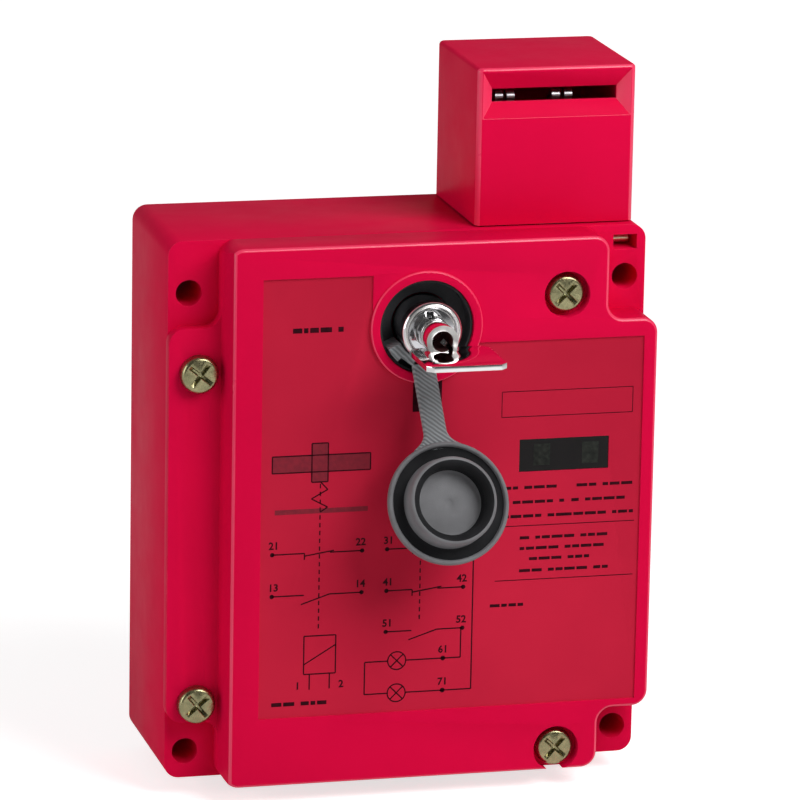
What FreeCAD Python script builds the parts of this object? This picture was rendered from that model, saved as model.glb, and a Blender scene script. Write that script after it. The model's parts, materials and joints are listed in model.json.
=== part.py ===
import FreeCAD, Part
import math
import os
import re

import Sketcher
from FreeCAD import Placement, Rotation, Vector

# Tongue interlock switch with solenoid locking, key release and turret head.
#
# Every piece is drawn in one construction frame: X across the body from its middle, Y backwards from the
# mounting plane (so the front is at negative Y) and Z up from the body's lower face. Each piece's Placement
# then lowers it by datum_height, which puts the origin at the centre of the four fixing holes on the
# mounting plane. A plane parallel to the front is given by its depth, the distance in front of that plane.

SIZES = {
    # the cast body
    "body_width": 97.4,
    "body_height": 110,
    "body_depth": 34.5,
    "body_wall": 4,
    "back_wall": 3.5,
    "body_corner": 3,
    "datum_height": 52.5,
    "fixing_across": 89,
    "fixing_up": 94,
    "fixing_radius": 2.65,
    "screw_boss_radius": 4.3,
    "screw_boss_length": 13.5,
    "screw_core_radius": 2.05,
    "screw_core_depth": 13,
    # the gasket's groove runs round the cavity's mouth
    "groove_inset": 2.2,
    "groove_width": 1,
    "groove_depth": 1,
    # the two cable entries in the lower wall
    "entry_left": -20,
    "entry_right": 10,
    "entry_depth": 17.25,
    "entry_radius": 9.19,
    "entry_boss_radius": 13.5,
    "entry_boss_height": 11,
    "blank_flange_radius": 12,
    "blank_flange_height": 3,
    "blank_slot_length": 16,
    "blank_slot_width": 2,
    "washer_radius": 11.6,
    "washer_thickness": 1,
    # the cover: a flange with a raised box on it, cut back at the four fixing ears
    "cover_width": 98,
    "cover_depth": 9.5,
    "flange_thickness": 3,
    "cover_wall": 3,
    "notch_width": 10.4,
    "notch_top": 93,
    "notch_bottom": 12.4,
    "notch_corner": 3.2,
    "side_draft": 1.2,
    "cover_edge": 0.8,
    # the sunk panel for the print
    "panel_depth": 0.4,
    "panel_left": -31.7,
    "panel_right": 46.2,
    "panel_bottom": 14.1,
    "panel_top_left": 103.75,
    "panel_top_right": 89.4,
    "panel_break": -9.6,
    # cover screws
    "screw_left": -43.1,
    "screw_left_top": 84,
    "screw_left_bottom": 16.3,
    "screw_right": 30,
    "screw_right_top": 98.4,
    "screw_right_bottom": 4.4,
    "screw_radius": 2,
    "screw_head_radius": 3.85,
    "screw_head_height": 2.3,
    "screw_length": 15,
    "counterbore_radius": 4.7,
    "counterbore_depth": 3,
    # release lock
    "lock_across": 1.3,
    "lock_up": 93.05,
    "lock_recess_radius": 9.55,
    "lock_boss_radius": 11.4,
    "lock_boss_proud": 0.6,
    "lock_floor": 38,
    "ring_floor": 2,
    "ring_lip": 0.5,
    "nut_radius": 9.8,
    "nut_thickness": 3,
    "barrel_radius": 6,
    "barrel_shank": 5.5,
    "barrel_face": 49,
    "barrel_chamfer": 0.5,
    "barrel_mouth": 0.6,
    "barrel_back": 25,
    "plug_radius": 4.6,
    "plug_face": 48.2,
    "keyway_inner": 2.05,
    "keyway_outer": 3.25,
    "keyway_depth": 7,
    # the key's guide, a notch from the keyway outwards
    "guide_left": -1.2,
    "guide_right": 0.2,
    "guide_bottom": 2.7,
    "guide_top": 4.1,
    "guide_depth": 2,
    "running_gap": 0.05,
    "cam_back": 21.7,
    "cam_seat": 2.5,
    "cam_hub": 4.2,
    "cam_thickness": 2.5,
    "release_start": 7,
    "release_travel": 4,
    "release_gap": 0.75,
    # key
    "key_outer": 3.2,
    "key_inner": 2.1,
    "key_root": 42,
    "key_tube_end": 56.5,
    "key_tip": 68.1,
    "bow_start": 52.4,
    "bow_left": -5.9,
    "bow_right": 10.2,
    "bow_corner": 1.3,
    "seam_left": 1.2,
    # tethered dust cap
    "tether_across": 0.5,
    "tether_depth": 45.5,
    "tether_up": 84.9,
    "tether_length": 27,
    "tether_width": 4.6,
    "tether_thickness": 1.2,
    "tether_lean": 22,
    "tether_swing": 5.8,
    "tether_gap": 0.15,
    "anchor_inner": 6.3,
    "anchor_outer": 8.85,
    "anchor_end": 7.42,
    "cap_radius": 12.2,
    "cap_plug_radius": 8.9,
    "cap_plug_height": 5,
    "cap_mouth_radius": 8.1,
    "cap_floor_radius": 6.6,
    "cap_web": 0.4,
    "channel_inset": 0.9,
    "channel_depth": 0.8,
    "strap_flare": 2,
    # indicator window and its lamps
    "window_left": 21,
    "window_right": 39.5,
    "window_bottom": 62.4,
    "window_top": 69.1,
    "window_rim": 0.8,
    "window_lap": 1.2,
    "pillar_offset": 2,
    "pillar_radius": 1.8,
    "board_depth": 37,
    "board_thickness": 1.6,
    "board_screw_radius": 0.95,
    "lamp_left": 25.7,
    "lamp_right": 35.7,
    "lamp_radius": 2,
    # turret head
    "turret_across": 30.3,
    "turret_depth": 16.35,
    "turret_width": 32.6,
    "turret_thickness": 31.6,
    "turret_bottom": 110.3,
    "turret_top": 142,
    "turret_wall": 3.1,
    "turret_roof": 2.6,
    "spigot_radius": 15,
    "spigot_bottom": 103.7,
    "spigot_hollow": 11.2,
    "seat_floor": 103.4,
    "plate_height": 3,
    "cheek_left": -7.1,
    "cheek_right": 6.5,
    "cheek_width": 2.2,
    "pin_radius": 1,
    "pin_depth": 30,
    "pin_up": 106.5,
    "pin_groove": 12.5,
    "pin_length": 28.5,
    "pin_inset": 2.6,
    "pin_access_left": 42,
    "pin_access_right": 46.9,
    "pin_access_depth": 6,
    "head_screw_across": 9,
    "head_screw_rise": 1.5,
    "head_screw_core": 0.95,
    "cheek_foot": 5.5,
    "cheek_top": 3.4,
    "cheek_rise": 4,
    "slot_width": 25.7,
    "slot_bottom": 134.8,
    "slot_top": 137.5,
    "mouth_margin": 2.4,
    "mouth_below": 3,
    "mouth_above": 3.6,
    "mouth_depth": 2.2,
    # tongue cam in the head
    "axle_up": 118,
    "axle_radius": 2,
    "hub_radius": 4.5,
    "finger_reach": 20,
    "finger_tip": 1.2,
    "finger_lean": 30.2,
    "finger_width": 1.6,
    "cam_start": 8,
    "cam_travel": 4,
    "cam_sweep": 60,
    "cam_width": 4,
    # push rod under the cam
    "rod_radius": 3,
    "rod_body_radius": 4.2,
    "rod_shoulder": 88.2,
    "rod_flange": 64.4,
    "rod_foot": 52,
    "notch_up": 73,
    "rod_notch_radius": 2.6,
    "rod_notch_height": 4.8,
    "bush_radius": 5,
    "bush_bottom": 88.5,
    # solenoid and locking bolt, on a common axis across the body
    "bolt_up": 69,
    "coil_left": -40.5,
    "coil_right": 3,
    "frame_height": 22,
    "frame_front": 28,
    "frame_plate": 1.5,
    "plate_front": 5,
    "plate_screw_radius": 1.5,
    "earth_across": -24,
    "earth_up": 96,
    "earth_height": 8.5,
    "bobbin_radius": 10,
    "coil_radius": 9,
    "bobbin_tube": 5.2,
    "plunger_radius": 4,
    "plunger_left": -21,
    "plunger_right": 9,
    "bolt_radius": 2.1,
    "link_thickness": 1.5,
    "link_width": 6,
    # contact blocks, each drawn standing on its own lower end
    "block_half": 12.5,
    "block_front": 28,
    "block_height": 38.5,
    "row_first": 11,
    "row_pitch": 10,
    "chamber_half": 11,
    "chamber_height": 7.2,
    "contact_inner": 5.2,
    "contact_width": 5.7,
    "terminal_back": 22,
    "terminal_height": 3.4,
    "slide_bottom": 8.4,
    "slide_top": 35.4,
    "block_right_up": 16.6,
    "block_left_across": -40,
    "block_left_up": 38,
}

COVER_SCREWS = [
    ("screw_left", "screw_left_top"), ("screw_left", "screw_left_bottom"),
    ("screw_right", "screw_right_top"), ("screw_right", "screw_right_bottom"),
]
# the tongue cam's hubs, from left to right of the head's middle, and the left faces of its fingers
WHEEL_HUB = (-4.6, 6.2)
WHEEL_FINGERS = (0.2, 2.8)
SIDE_HUB = (-12.3, -7.4)
SIDE_FINGERS = (-11.5, -9.1)
PLATE_SCREWS = [("-38", "21.5"), ("12", "21.5"), ("12", "79"), ("38", "79")]
ROWS = range(3)
BREAK_ROWS = (0, 1)  # the lower two rows open when the slide moves down, the third closes

doc = FreeCAD.newDocument("TongueInterlockSwitch")
nodes = []


def fill_sheet():
    """Put every driving dimension in the document's spreadsheet under its own alias."""
    sheet = doc.addObject("Spreadsheet::Sheet", "Sizes")
    for row, (alias, number) in enumerate(SIZES.items(), start=1):
        sheet.set(f"A{row}", alias)
        sheet.set(f"B{row}", str(number))
        sheet.setAlias(f"B{row}", alias)
    doc.recompute()


def bound(text):
    """Turn 'body_width / 2' into an expression on the spreadsheet's cells."""
    return re.sub(r"[a-z]+(?:_[a-z]+)*", lambda m: "Sizes." + m[0] if m[0] in SIZES else m[0], str(text))


def bind(item, **properties):
    """Bind properties such as Length to expressions."""
    for name, text in properties.items():
        item.setExpression(name, bound(text))


def stand(item, x="0", y="0", z="0", rotation=None):
    """Place a piece: x, y and z in the construction frame, lowered to the part's own origin."""
    if rotation:
        item.Placement = Placement(Vector(), rotation)
    item.setExpression("Placement.Base.x", bound(x))
    item.setExpression("Placement.Base.y", bound(y))
    item.setExpression("Placement.Base.z", bound(f"{z} - datum_height"))


def keep(item):
    """List a finished piece for writing."""
    nodes.append(item)
    return item


# ---------------------------------------------------------------- part design helpers


def new_body(label, x="0", y="0", z="0", rotation=None):
    body = doc.addObject("PartDesign::Body", label)
    body.Label = label
    stand(body, x, y, z, rotation)
    return body


def new_sketch(body, plane, offset="0"):
    """A sketch on one of the body's origin planes, moved along that plane's normal."""
    sketch = body.newObject("Sketcher::SketchObject", f"{body.Name}_sketch")
    support = next(item for item in body.Origin.OriginFeatures if item.Role == plane)
    sketch.AttachmentSupport = (support, [""])
    sketch.MapMode = "FlatFace"
    sketch.setExpression("AttachmentOffset.Base.z", bound(offset))
    return sketch


def front_sketch(body, depth):
    """A sketch parallel to the front; its normal points out of the front."""
    return new_sketch(body, "XZ_Plane", depth)


def dimension(sketch, kind, *target, text):
    """Add one driving constraint and bind it."""
    index = sketch.addConstraint(Sketcher.Constraint(kind, *target, 1.0))
    sketch.setExpression(f"Constraints[{index}]", bound(text))


def draw_polygon(sketch, points):
    """A closed outline through points, each a pair of expressions."""
    first = len(sketch.Geometry)
    count = len(points)
    ring = [Vector(math.cos(turn), math.sin(turn)) for turn in (2 * math.pi * i / count for i in range(count))]
    for i in range(count):
        sketch.addGeometry(Part.LineSegment(ring[i], ring[(i + 1) % count]))
    for i in range(count):
        sketch.addConstraint(Sketcher.Constraint("Coincident", first + i, 2, first + (i + 1) % count, 1))
    for i, (across, up) in enumerate(points):
        dimension(sketch, "DistanceX", -1, 1, first + i, 1, text=across)
        dimension(sketch, "DistanceY", -1, 1, first + i, 1, text=up)
    return sketch


def on_arc(radius, turn):
    """A point of an outline on a circle round the sketch's centre, turn degrees from its first axis."""
    angle = math.radians(turn)
    return f"{radius} * {math.cos(angle):.5f}", f"{radius} * {math.sin(angle):.5f}"


def draw_box(sketch, left, right, bottom, top):
    return draw_polygon(sketch, [(left, bottom), (right, bottom), (right, top), (left, top)])


def draw_circle(sketch, across, up, radius):
    index = sketch.addGeometry(Part.Circle(Vector(1, 1, 0), Vector(0, 0, 1), 1))
    dimension(sketch, "DistanceX", -1, 1, index, 3, text=across)
    dimension(sketch, "DistanceY", -1, 1, index, 3, text=up)
    dimension(sketch, "Radius", index, text=radius)
    return sketch


def pad(body, sketch, length, backwards=False, midplane=False):
    feature = body.newObject("PartDesign::Pad", f"{body.Name}_pad")
    feature.Profile = sketch
    feature.Reversed = backwards
    feature.Midplane = midplane
    bind(feature, Length=length)
    return feature


def pocket(body, sketch, length=None, forwards=False, midplane=False):
    """Cut a sketch into the body against its normal, or right through where no length is given."""
    feature = body.newObject("PartDesign::Pocket", f"{body.Name}_pocket")
    feature.Profile = sketch
    feature.Reversed = forwards
    feature.Midplane = midplane
    if length is None:
        feature.Type = "ThroughAll"
    else:
        bind(feature, Length=length)
    return feature


def turn(body, sketch, axis):
    """Revolve a half section about the sketch's own H_Axis or V_Axis."""
    feature = body.newObject("PartDesign::Revolution", f"{body.Name}_turned")
    feature.Profile = sketch
    feature.ReferenceAxis = (sketch, [axis])
    feature.Angle = 360
    return feature


def round_edges(body, radius, wanted, chamfer=False):
    """Fillet or chamfer the edges of the body's tip for which wanted(edge) is true."""
    doc.recompute()
    base = body.Tip
    names = [f"Edge{i}" for i, edge in enumerate(base.Shape.Edges, start=1) if wanted(edge)]
    kind = "PartDesign::Chamfer" if chamfer else "PartDesign::Fillet"
    feature = body.newObject(kind, f"{body.Name}_edge")
    feature.Base = (base, names)
    bind(feature, **{"Size" if chamfer else "Radius": radius})
    return feature


def runs_along(edge, axis):
    """True for a straight edge parallel to axis (0, 1 or 2)."""
    box = edge.BoundBox
    spans = [box.XLength, box.YLength, box.ZLength]
    others = [span for i, span in enumerate(spans) if i != axis]
    return spans[axis] > 0.01 and max(others) < 0.01


def lies_at(edge, axis, place):
    """True for an edge wholly in the plane at place along axis."""
    box = edge.BoundBox
    low = (box.XMin, box.YMin, box.ZMin)[axis]
    high = (box.XMax, box.YMax, box.ZMax)[axis]
    return abs(low - place) < 0.01 and abs(high - place) < 0.01


# ---------------------------------------------------------------- primitive helpers


def rod(label, radius, length, start, along):
    """A cylinder from start along +X, -Y or +Z."""
    item = doc.addObject("Part::Cylinder", label)
    bind(item, Radius=radius, Height=length)
    turns = {"x": Rotation(Vector(0, 1, 0), 90), "front": Rotation(Vector(1, 0, 0), 90), "up": Rotation()}
    stand(item, *start, rotation=turns[along])
    return item


def joined(label, kind, items):
    """A named boolean of finished items: MultiFuse, MultiCommon or Cut."""
    item = doc.addObject(f"Part::{kind}", label)
    if kind == "Cut":
        item.Base, item.Tool = items
    else:
        item.Shapes = items
    return item


def copies(label, pattern, places, rotation=None):
    """One node holding a separate copy of the pattern at every place."""
    links = []
    for i, (x, y, z) in enumerate(places):
        link = doc.addObject("App::Link", f"{label}_{i + 1}")
        link.LinkedObject = pattern
        link.Placement = Placement(Vector(), rotation or Rotation())
        for axis, text in zip("xyz", (x, y, z)):
            link.setExpression(f"Placement.Base.{axis}", bound(text))
        links.append(link)
    group = doc.addObject("Part::Compound", label)
    group.Links = links
    stand(group)
    return keep(group)


def pattern_body(label):
    """A body used only as the pattern for copies; it stays at the document's origin."""
    body = doc.addObject("PartDesign::Body", label)
    body.Label = label
    return body


# ---------------------------------------------------------------- outlines shared by mating pieces


def cavity_outline(grow):
    """The body cavity's stepped outline, moved outwards by grow: the corners clear the fixing ears."""
    side = f"(body_width / 2 - body_wall + ({grow}))"
    inner = f"(cover_width / 2 - notch_width - body_wall - 0.2 + ({grow}))"
    floor = f"(body_wall - ({grow}))"
    roof = f"(body_height - body_wall - 0.5 + ({grow}))"
    low_step = f"(notch_bottom + body_wall - ({grow}))"
    high_step = f"(notch_top - body_wall - 0.5 + ({grow}))"
    seat = f"(turret_across - spigot_radius - 3.3 + ({grow}))"
    return [
        (f"-{inner}", floor), (inner, floor), (inner, low_step), (side, low_step), (side, high_step),
        (seat, high_step), (seat, roof), (f"-{inner}", roof), (f"-{inner}", high_step),
        (f"-{side}", high_step), (f"-{side}", low_step), (f"-{inner}", low_step),
    ]


# ---------------------------------------------------------------- casing


def make_housing():
    """The die-cast body: four fixing ears, a stepped cavity, the turret's seat and two cable entries."""
    body = new_body("housing")
    pad(body, draw_box(front_sketch(body, "0"), "-body_width / 2", "body_width / 2", "0", "body_height"),
        "body_depth")
    round_edges(body, "body_corner", lambda edge: runs_along(edge, 1))
    pocket(body, draw_polygon(front_sketch(body, "body_depth"), cavity_outline("0")), "body_depth - back_wall")
    bosses = front_sketch(body, "body_depth")
    for up in ("screw_left_top", "screw_left_bottom"):
        draw_circle(bosses, "screw_left", up, "screw_boss_radius")
    draw_circle(bosses, "screw_right", "screw_right_bottom", "screw_boss_radius")
    pad(body, bosses, "screw_boss_length", backwards=True)
    entries = new_sketch(body, "XY_Plane")
    holes = new_sketch(body, "XY_Plane")
    for across in ("entry_left", "entry_right"):
        draw_circle(entries, across, "-entry_depth", "entry_boss_radius")
        draw_circle(holes, across, "-entry_depth", "entry_radius")
    pad(body, entries, "entry_boss_height")
    pocket(body, holes, "entry_boss_height", forwards=True)
    groove = draw_polygon(front_sketch(body, "body_depth"), cavity_outline("groove_inset + groove_width"))
    draw_polygon(groove, cavity_outline("groove_inset"))
    pocket(body, groove, "groove_depth")
    cores = front_sketch(body, "body_depth")
    for across, up in COVER_SCREWS:
        draw_circle(cores, across, up, "screw_core_radius")
    pocket(body, cores, "screw_core_depth")
    threads = front_sketch(body, "back_wall")
    for across, up in PLATE_SCREWS:
        draw_circle(threads, across, up, "plate_screw_radius")
    pocket(body, threads, "2")
    fixings = front_sketch(body, "body_depth")
    for across in ("-fixing_across / 2", "fixing_across / 2"):
        for up in ("datum_height - fixing_up / 2", "datum_height + fixing_up / 2"):
            draw_circle(fixings, across, up, "fixing_radius")
    pocket(body, fixings)
    seat = draw_circle(new_sketch(body, "XY_Plane", "body_height"), "turret_across", "-turret_depth",
                       "spigot_radius + running_gap")
    pocket(body, seat, "body_height - seat_floor")
    bush = draw_circle(new_sketch(body, "XY_Plane", "body_height"), "turret_across", "-turret_depth",
                       "bush_radius")
    pocket(body, bush, "body_height - bush_bottom + 1")
    pin = draw_circle(new_sketch(body, "YZ_Plane", "body_width / 2 - pin_inset + 0.2"), "-pin_depth", "pin_up",
                      "pin_radius")
    pocket(body, pin, "pin_length + 0.5")
    access = draw_box(front_sketch(body, "body_depth"), "pin_access_left", "pin_access_right",
                      "pin_up - 1.5", "pin_up + 1.5")
    pocket(body, access, "pin_access_depth")
    return keep(body)


def make_front_cover():
    """The cast cover: low flange on the left, raised box with a sunk panel, lock boss and lamp window."""
    body = new_body("front_cover")
    side = "cover_width / 2"
    inner = "(cover_width / 2 - notch_width)"
    flange = [
        (f"-{inner}", "0"), (inner, "0"), (inner, "notch_bottom"), (side, "notch_bottom"),
        (side, "notch_top"), (inner, "notch_top"), (inner, "body_height"), (f"-{inner}", "body_height"),
        (f"-{inner}", "notch_top"), (f"-{side}", "notch_top"), (f"-{side}", "notch_bottom"),
        (f"-{inner}", "notch_bottom"),
    ]
    pad(body, draw_polygon(front_sketch(body, "body_depth"), flange), "flange_thickness")
    raised = flange[:8]
    pad(body, draw_polygon(front_sketch(body, "body_depth + flange_thickness"), raised),
        "cover_depth - flange_thickness")
    draft = draw_polygon(new_sketch(body, "XY_Plane"), [
        (f"-{inner} - 1", "-(body_depth + flange_thickness)"),
        (f"-{inner}", "-(body_depth + flange_thickness)"),
        (f"-{inner} + side_draft", "-(body_depth + cover_depth)"),
        (f"-{inner} - 1", "-(body_depth + cover_depth)"),
    ])
    pocket(body, draft, forwards=True)
    front = -(SIZES["body_depth"] + SIZES["cover_depth"])
    round_edges(body, "notch_corner", lambda edge: runs_along(edge, 1) and edge.Length > 2)
    round_edges(body, "cover_edge", lambda edge: lies_at(edge, 1, front))
    hollow = draw_polygon(front_sketch(body, "body_depth"), [
        (f"-{inner} + cover_wall", "cover_wall"), ("window_left + 1", "cover_wall"),
        ("window_left + 1", "notch_bottom + cover_wall"), (f"{side} - cover_wall", "notch_bottom + cover_wall"),
        (f"{side} - cover_wall", "notch_top - 5"), ("lock_across + lock_boss_radius + 4", "notch_top - 5"),
        ("lock_across + lock_boss_radius + 4", "body_height - cover_wall"),
        (f"-{inner} + cover_wall", "body_height - cover_wall"),
    ])
    draw_circle(hollow, "lock_across", "lock_up", "lock_recess_radius + cover_wall")
    pocket(body, hollow, "cover_depth - cover_wall", forwards=True)
    panel = draw_polygon(front_sketch(body, "body_depth + cover_depth"), [
        ("panel_left", "panel_bottom"), ("panel_right", "panel_bottom"), ("panel_right", "panel_top_right"),
        ("lock_across", "panel_top_right"), ("lock_across", "lock_up"), ("panel_break", "lock_up"),
        ("panel_break", "panel_top_left"), ("panel_left", "panel_top_left"),
    ])
    pocket(body, panel, "panel_depth")
    boss = draw_circle(front_sketch(body, "body_depth + cover_depth - 1"), "lock_across", "lock_up",
                       "lock_boss_radius")
    pad(body, boss, "1 + lock_boss_proud")
    round_edges(body, "lock_boss_proud * 0.7",
                lambda edge: lies_at(edge, 1, front - SIZES["lock_boss_proud"]))
    recess = draw_circle(front_sketch(body, "body_depth + cover_depth + lock_boss_proud"), "lock_across",
                         "lock_up", "lock_recess_radius")
    pocket(body, recess, "body_depth + cover_depth + lock_boss_proud - lock_floor")
    barrel = draw_circle(front_sketch(body, "lock_floor"), "lock_across", "lock_up", "barrel_shank + 0.05")
    pocket(body, barrel, "lock_floor - body_depth")
    pillars = front_sketch(body, "board_depth + board_thickness")
    for across in ("window_left - pillar_offset", "window_right + pillar_offset"):
        draw_circle(pillars, across, "(window_bottom + window_top) / 2", "pillar_radius")
    pad(body, pillars, "body_depth + cover_depth - cover_wall - board_depth - board_thickness")
    threads = front_sketch(body, "board_depth + board_thickness")
    for across in ("window_left - pillar_offset", "window_right + pillar_offset"):
        draw_circle(threads, across, "(window_bottom + window_top) / 2", "board_screw_radius")
    pocket(body, threads, "2", forwards=True)
    window = draw_box(front_sketch(body, "body_depth + cover_depth"), "window_left", "window_right",
                      "window_bottom", "window_top")
    pocket(body, window, "cover_wall")
    sinks = front_sketch(body, "body_depth + cover_depth")
    for up in ("screw_right_top", "screw_right_bottom"):
        draw_circle(sinks, "screw_right", up, "counterbore_radius")
    pocket(body, sinks, "counterbore_depth")
    holes = front_sketch(body, "body_depth + cover_depth")
    for across, up in COVER_SCREWS:
        draw_circle(holes, across, up, "screw_radius + 0.2")
    pocket(body, holes, "cover_depth")
    return keep(body)


def make_gasket():
    """The rubber cord pressed into the groove round the cavity's mouth."""
    body = new_body("cover_gasket")
    outline = draw_polygon(front_sketch(body, "body_depth - groove_depth"),
                           cavity_outline("groove_inset + groove_width"))
    draw_polygon(outline, cavity_outline("groove_inset"))
    pad(body, outline, "groove_depth")
    return keep(body)


def make_screw(label, radius, length, head_radius, head_height, recess="0"):
    """A pan-headed screw pointing backwards, the underside of its head at the origin, crossed recess."""
    body = pattern_body(label)
    profile = draw_polygon(new_sketch(body, "YZ_Plane"), [
        (length, "0"), (length, radius), ("0", radius), ("0", head_radius),
        (f"-({head_height}) * 0.55", head_radius), (f"-({head_height})", f"({head_radius}) * 0.72"),
        (f"-({head_height})", "0"),
    ])
    turn(body, profile, "H_Axis")
    if recess != "0":
        for tilt in (45, -45):
            blade = draw_box(front_sketch(body, head_height), f"-({recess})", recess, "-0.45", "0.45")
            blade.AttachmentOffset = Placement(Vector(), Rotation(Vector(0, 0, 1), tilt))
            blade.setExpression("AttachmentOffset.Base.z", bound(head_height))
            pocket(body, blade, f"({head_height}) * 0.6")
    return body


def make_cover_screws():
    screw = make_screw("cover_screw_pattern", "screw_radius", "screw_length", "screw_head_radius",
                       "screw_head_height", "screw_head_radius * 0.72")
    flange = "-(body_depth + flange_thickness)"
    sunk = "-(body_depth + cover_depth - counterbore_depth)"
    shorter = [
        ("screw_left", flange, "screw_left_top"), ("screw_left", flange, "screw_left_bottom"),
        ("screw_right", sunk, "screw_right_top"), ("screw_right", sunk, "screw_right_bottom"),
    ]
    copies("cover_screws", screw, shorter)


def make_cable_plug():
    """The threaded plug that closes the right cable entry, with a driver slot and a sealing washer."""
    body = new_body("blanking_plug", "entry_right", "-entry_depth")
    face = "-(washer_thickness + blank_flange_height)"
    profile = draw_polygon(new_sketch(body, "XZ_Plane"), [
        ("0", "entry_boss_height - 2"), ("entry_radius - 0.5", "entry_boss_height - 2"),
        ("entry_radius", "entry_boss_height - 2.6"), ("entry_radius", "-washer_thickness"),
        ("blank_flange_radius", "-washer_thickness"), ("blank_flange_radius", f"{face} + 1"),
        ("blank_flange_radius - 1", face), ("0", face),
    ])
    turn(body, profile, "V_Axis")
    slot = draw_box(new_sketch(body, "XY_Plane", face), "-blank_slot_length / 2", "blank_slot_length / 2",
                    "-blank_slot_width / 2", "blank_slot_width / 2")
    pocket(body, slot, "2", forwards=True)
    keep(body)
    washer = new_body("plug_washer", "entry_right", "-entry_depth")
    ring = draw_circle(new_sketch(washer, "XY_Plane", "-washer_thickness"), "0", "0", "washer_radius")
    draw_circle(ring, "0", "0", "entry_radius")
    pad(washer, ring, "washer_thickness")
    keep(washer)


def make_window():
    """The dark lamp window: it fills the opening and is held by a rim behind the cover's wall."""
    body = new_body("lamp_window")
    rim = draw_box(front_sketch(body, "body_depth + cover_depth - cover_wall - window_rim"),
                   "window_left - 0.1", "window_right + 0.1", "window_bottom - window_lap",
                   "window_top + window_lap")
    pad(body, rim, "window_rim")
    pane = draw_box(front_sketch(body, "body_depth + cover_depth - cover_wall"), "window_left",
                    "window_right", "window_bottom", "window_top")
    pad(body, pane, "cover_wall - panel_depth - 0.2")
    keep(body)
    board = new_body("lamp_board")
    plate = draw_box(front_sketch(board, "board_depth"), "window_left - 4.5", "window_right + 4.5",
                     "window_bottom - 4", "window_top + 4")
    for across in ("window_left - pillar_offset", "window_right + pillar_offset"):
        draw_circle(plate, across, "(window_bottom + window_top) / 2", "1")
    pad(board, plate, "board_thickness")
    keep(board)
    lamp = pattern_body("lamp_pattern")
    profile = draw_polygon(new_sketch(lamp, "YZ_Plane"), [
        ("0", "0"), ("0", "lamp_radius"), ("-0.8", "lamp_radius"), ("-1.4", "lamp_radius * 0.6"),
        ("-1.6", "0"),
    ])
    turn(lamp, profile, "H_Axis")
    middle = "(window_bottom + window_top) / 2 - 0.8"
    face = "-(board_depth + board_thickness)"
    copies("status_lamps", lamp, [("lamp_left", face, middle), ("lamp_right", face, middle)])
    screw = make_screw("board_screw_pattern", "board_screw_radius", "3.4", "1.7", "1.1")
    about = Rotation(Vector(0, 0, 1), 180)
    middle = "(window_bottom + window_top) / 2"
    places = [(across, "-board_depth", middle)
              for across in ("window_left - pillar_offset", "window_right + pillar_offset")]
    copies("board_screws", screw, places, about)


# ---------------------------------------------------------------- release lock, key and dust cap


def spiral_cam(start, rise, first, last, hub, thickness):
    """A cam plate in the XZ plane whose edge is an Archimedean spiral: it lifts evenly with its turning.

    first and last are angles in degrees from -X towards -Z; the radius at angle 0 is start, and it grows by
    rise over each quarter turn. The plate's front is at Y = 0 and it is thickness deep, backwards.
    """
    points = []
    steps = 8
    for step in range(steps + 1):
        angle = math.radians(first + (last - first) * step / steps)
        radius = start + rise * angle / (math.pi / 2)
        points.append(Vector(-radius * math.cos(angle), 0, -radius * math.sin(angle)))
    edge = Part.BSplineCurve()
    edge.interpolate(points)
    sides = [Part.LineSegment(points[-1], Vector()), Part.LineSegment(Vector(), points[0])]
    wire = Part.Wire([edge.toShape()] + [side.toShape() for side in sides])
    lobe = Part.Face(wire).extrude(Vector(0, thickness, 0))
    disc = Part.makeCylinder(hub, thickness, Vector(), Vector(0, 1, 0))
    return lobe.fuse(disc).removeSplitter()


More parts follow.
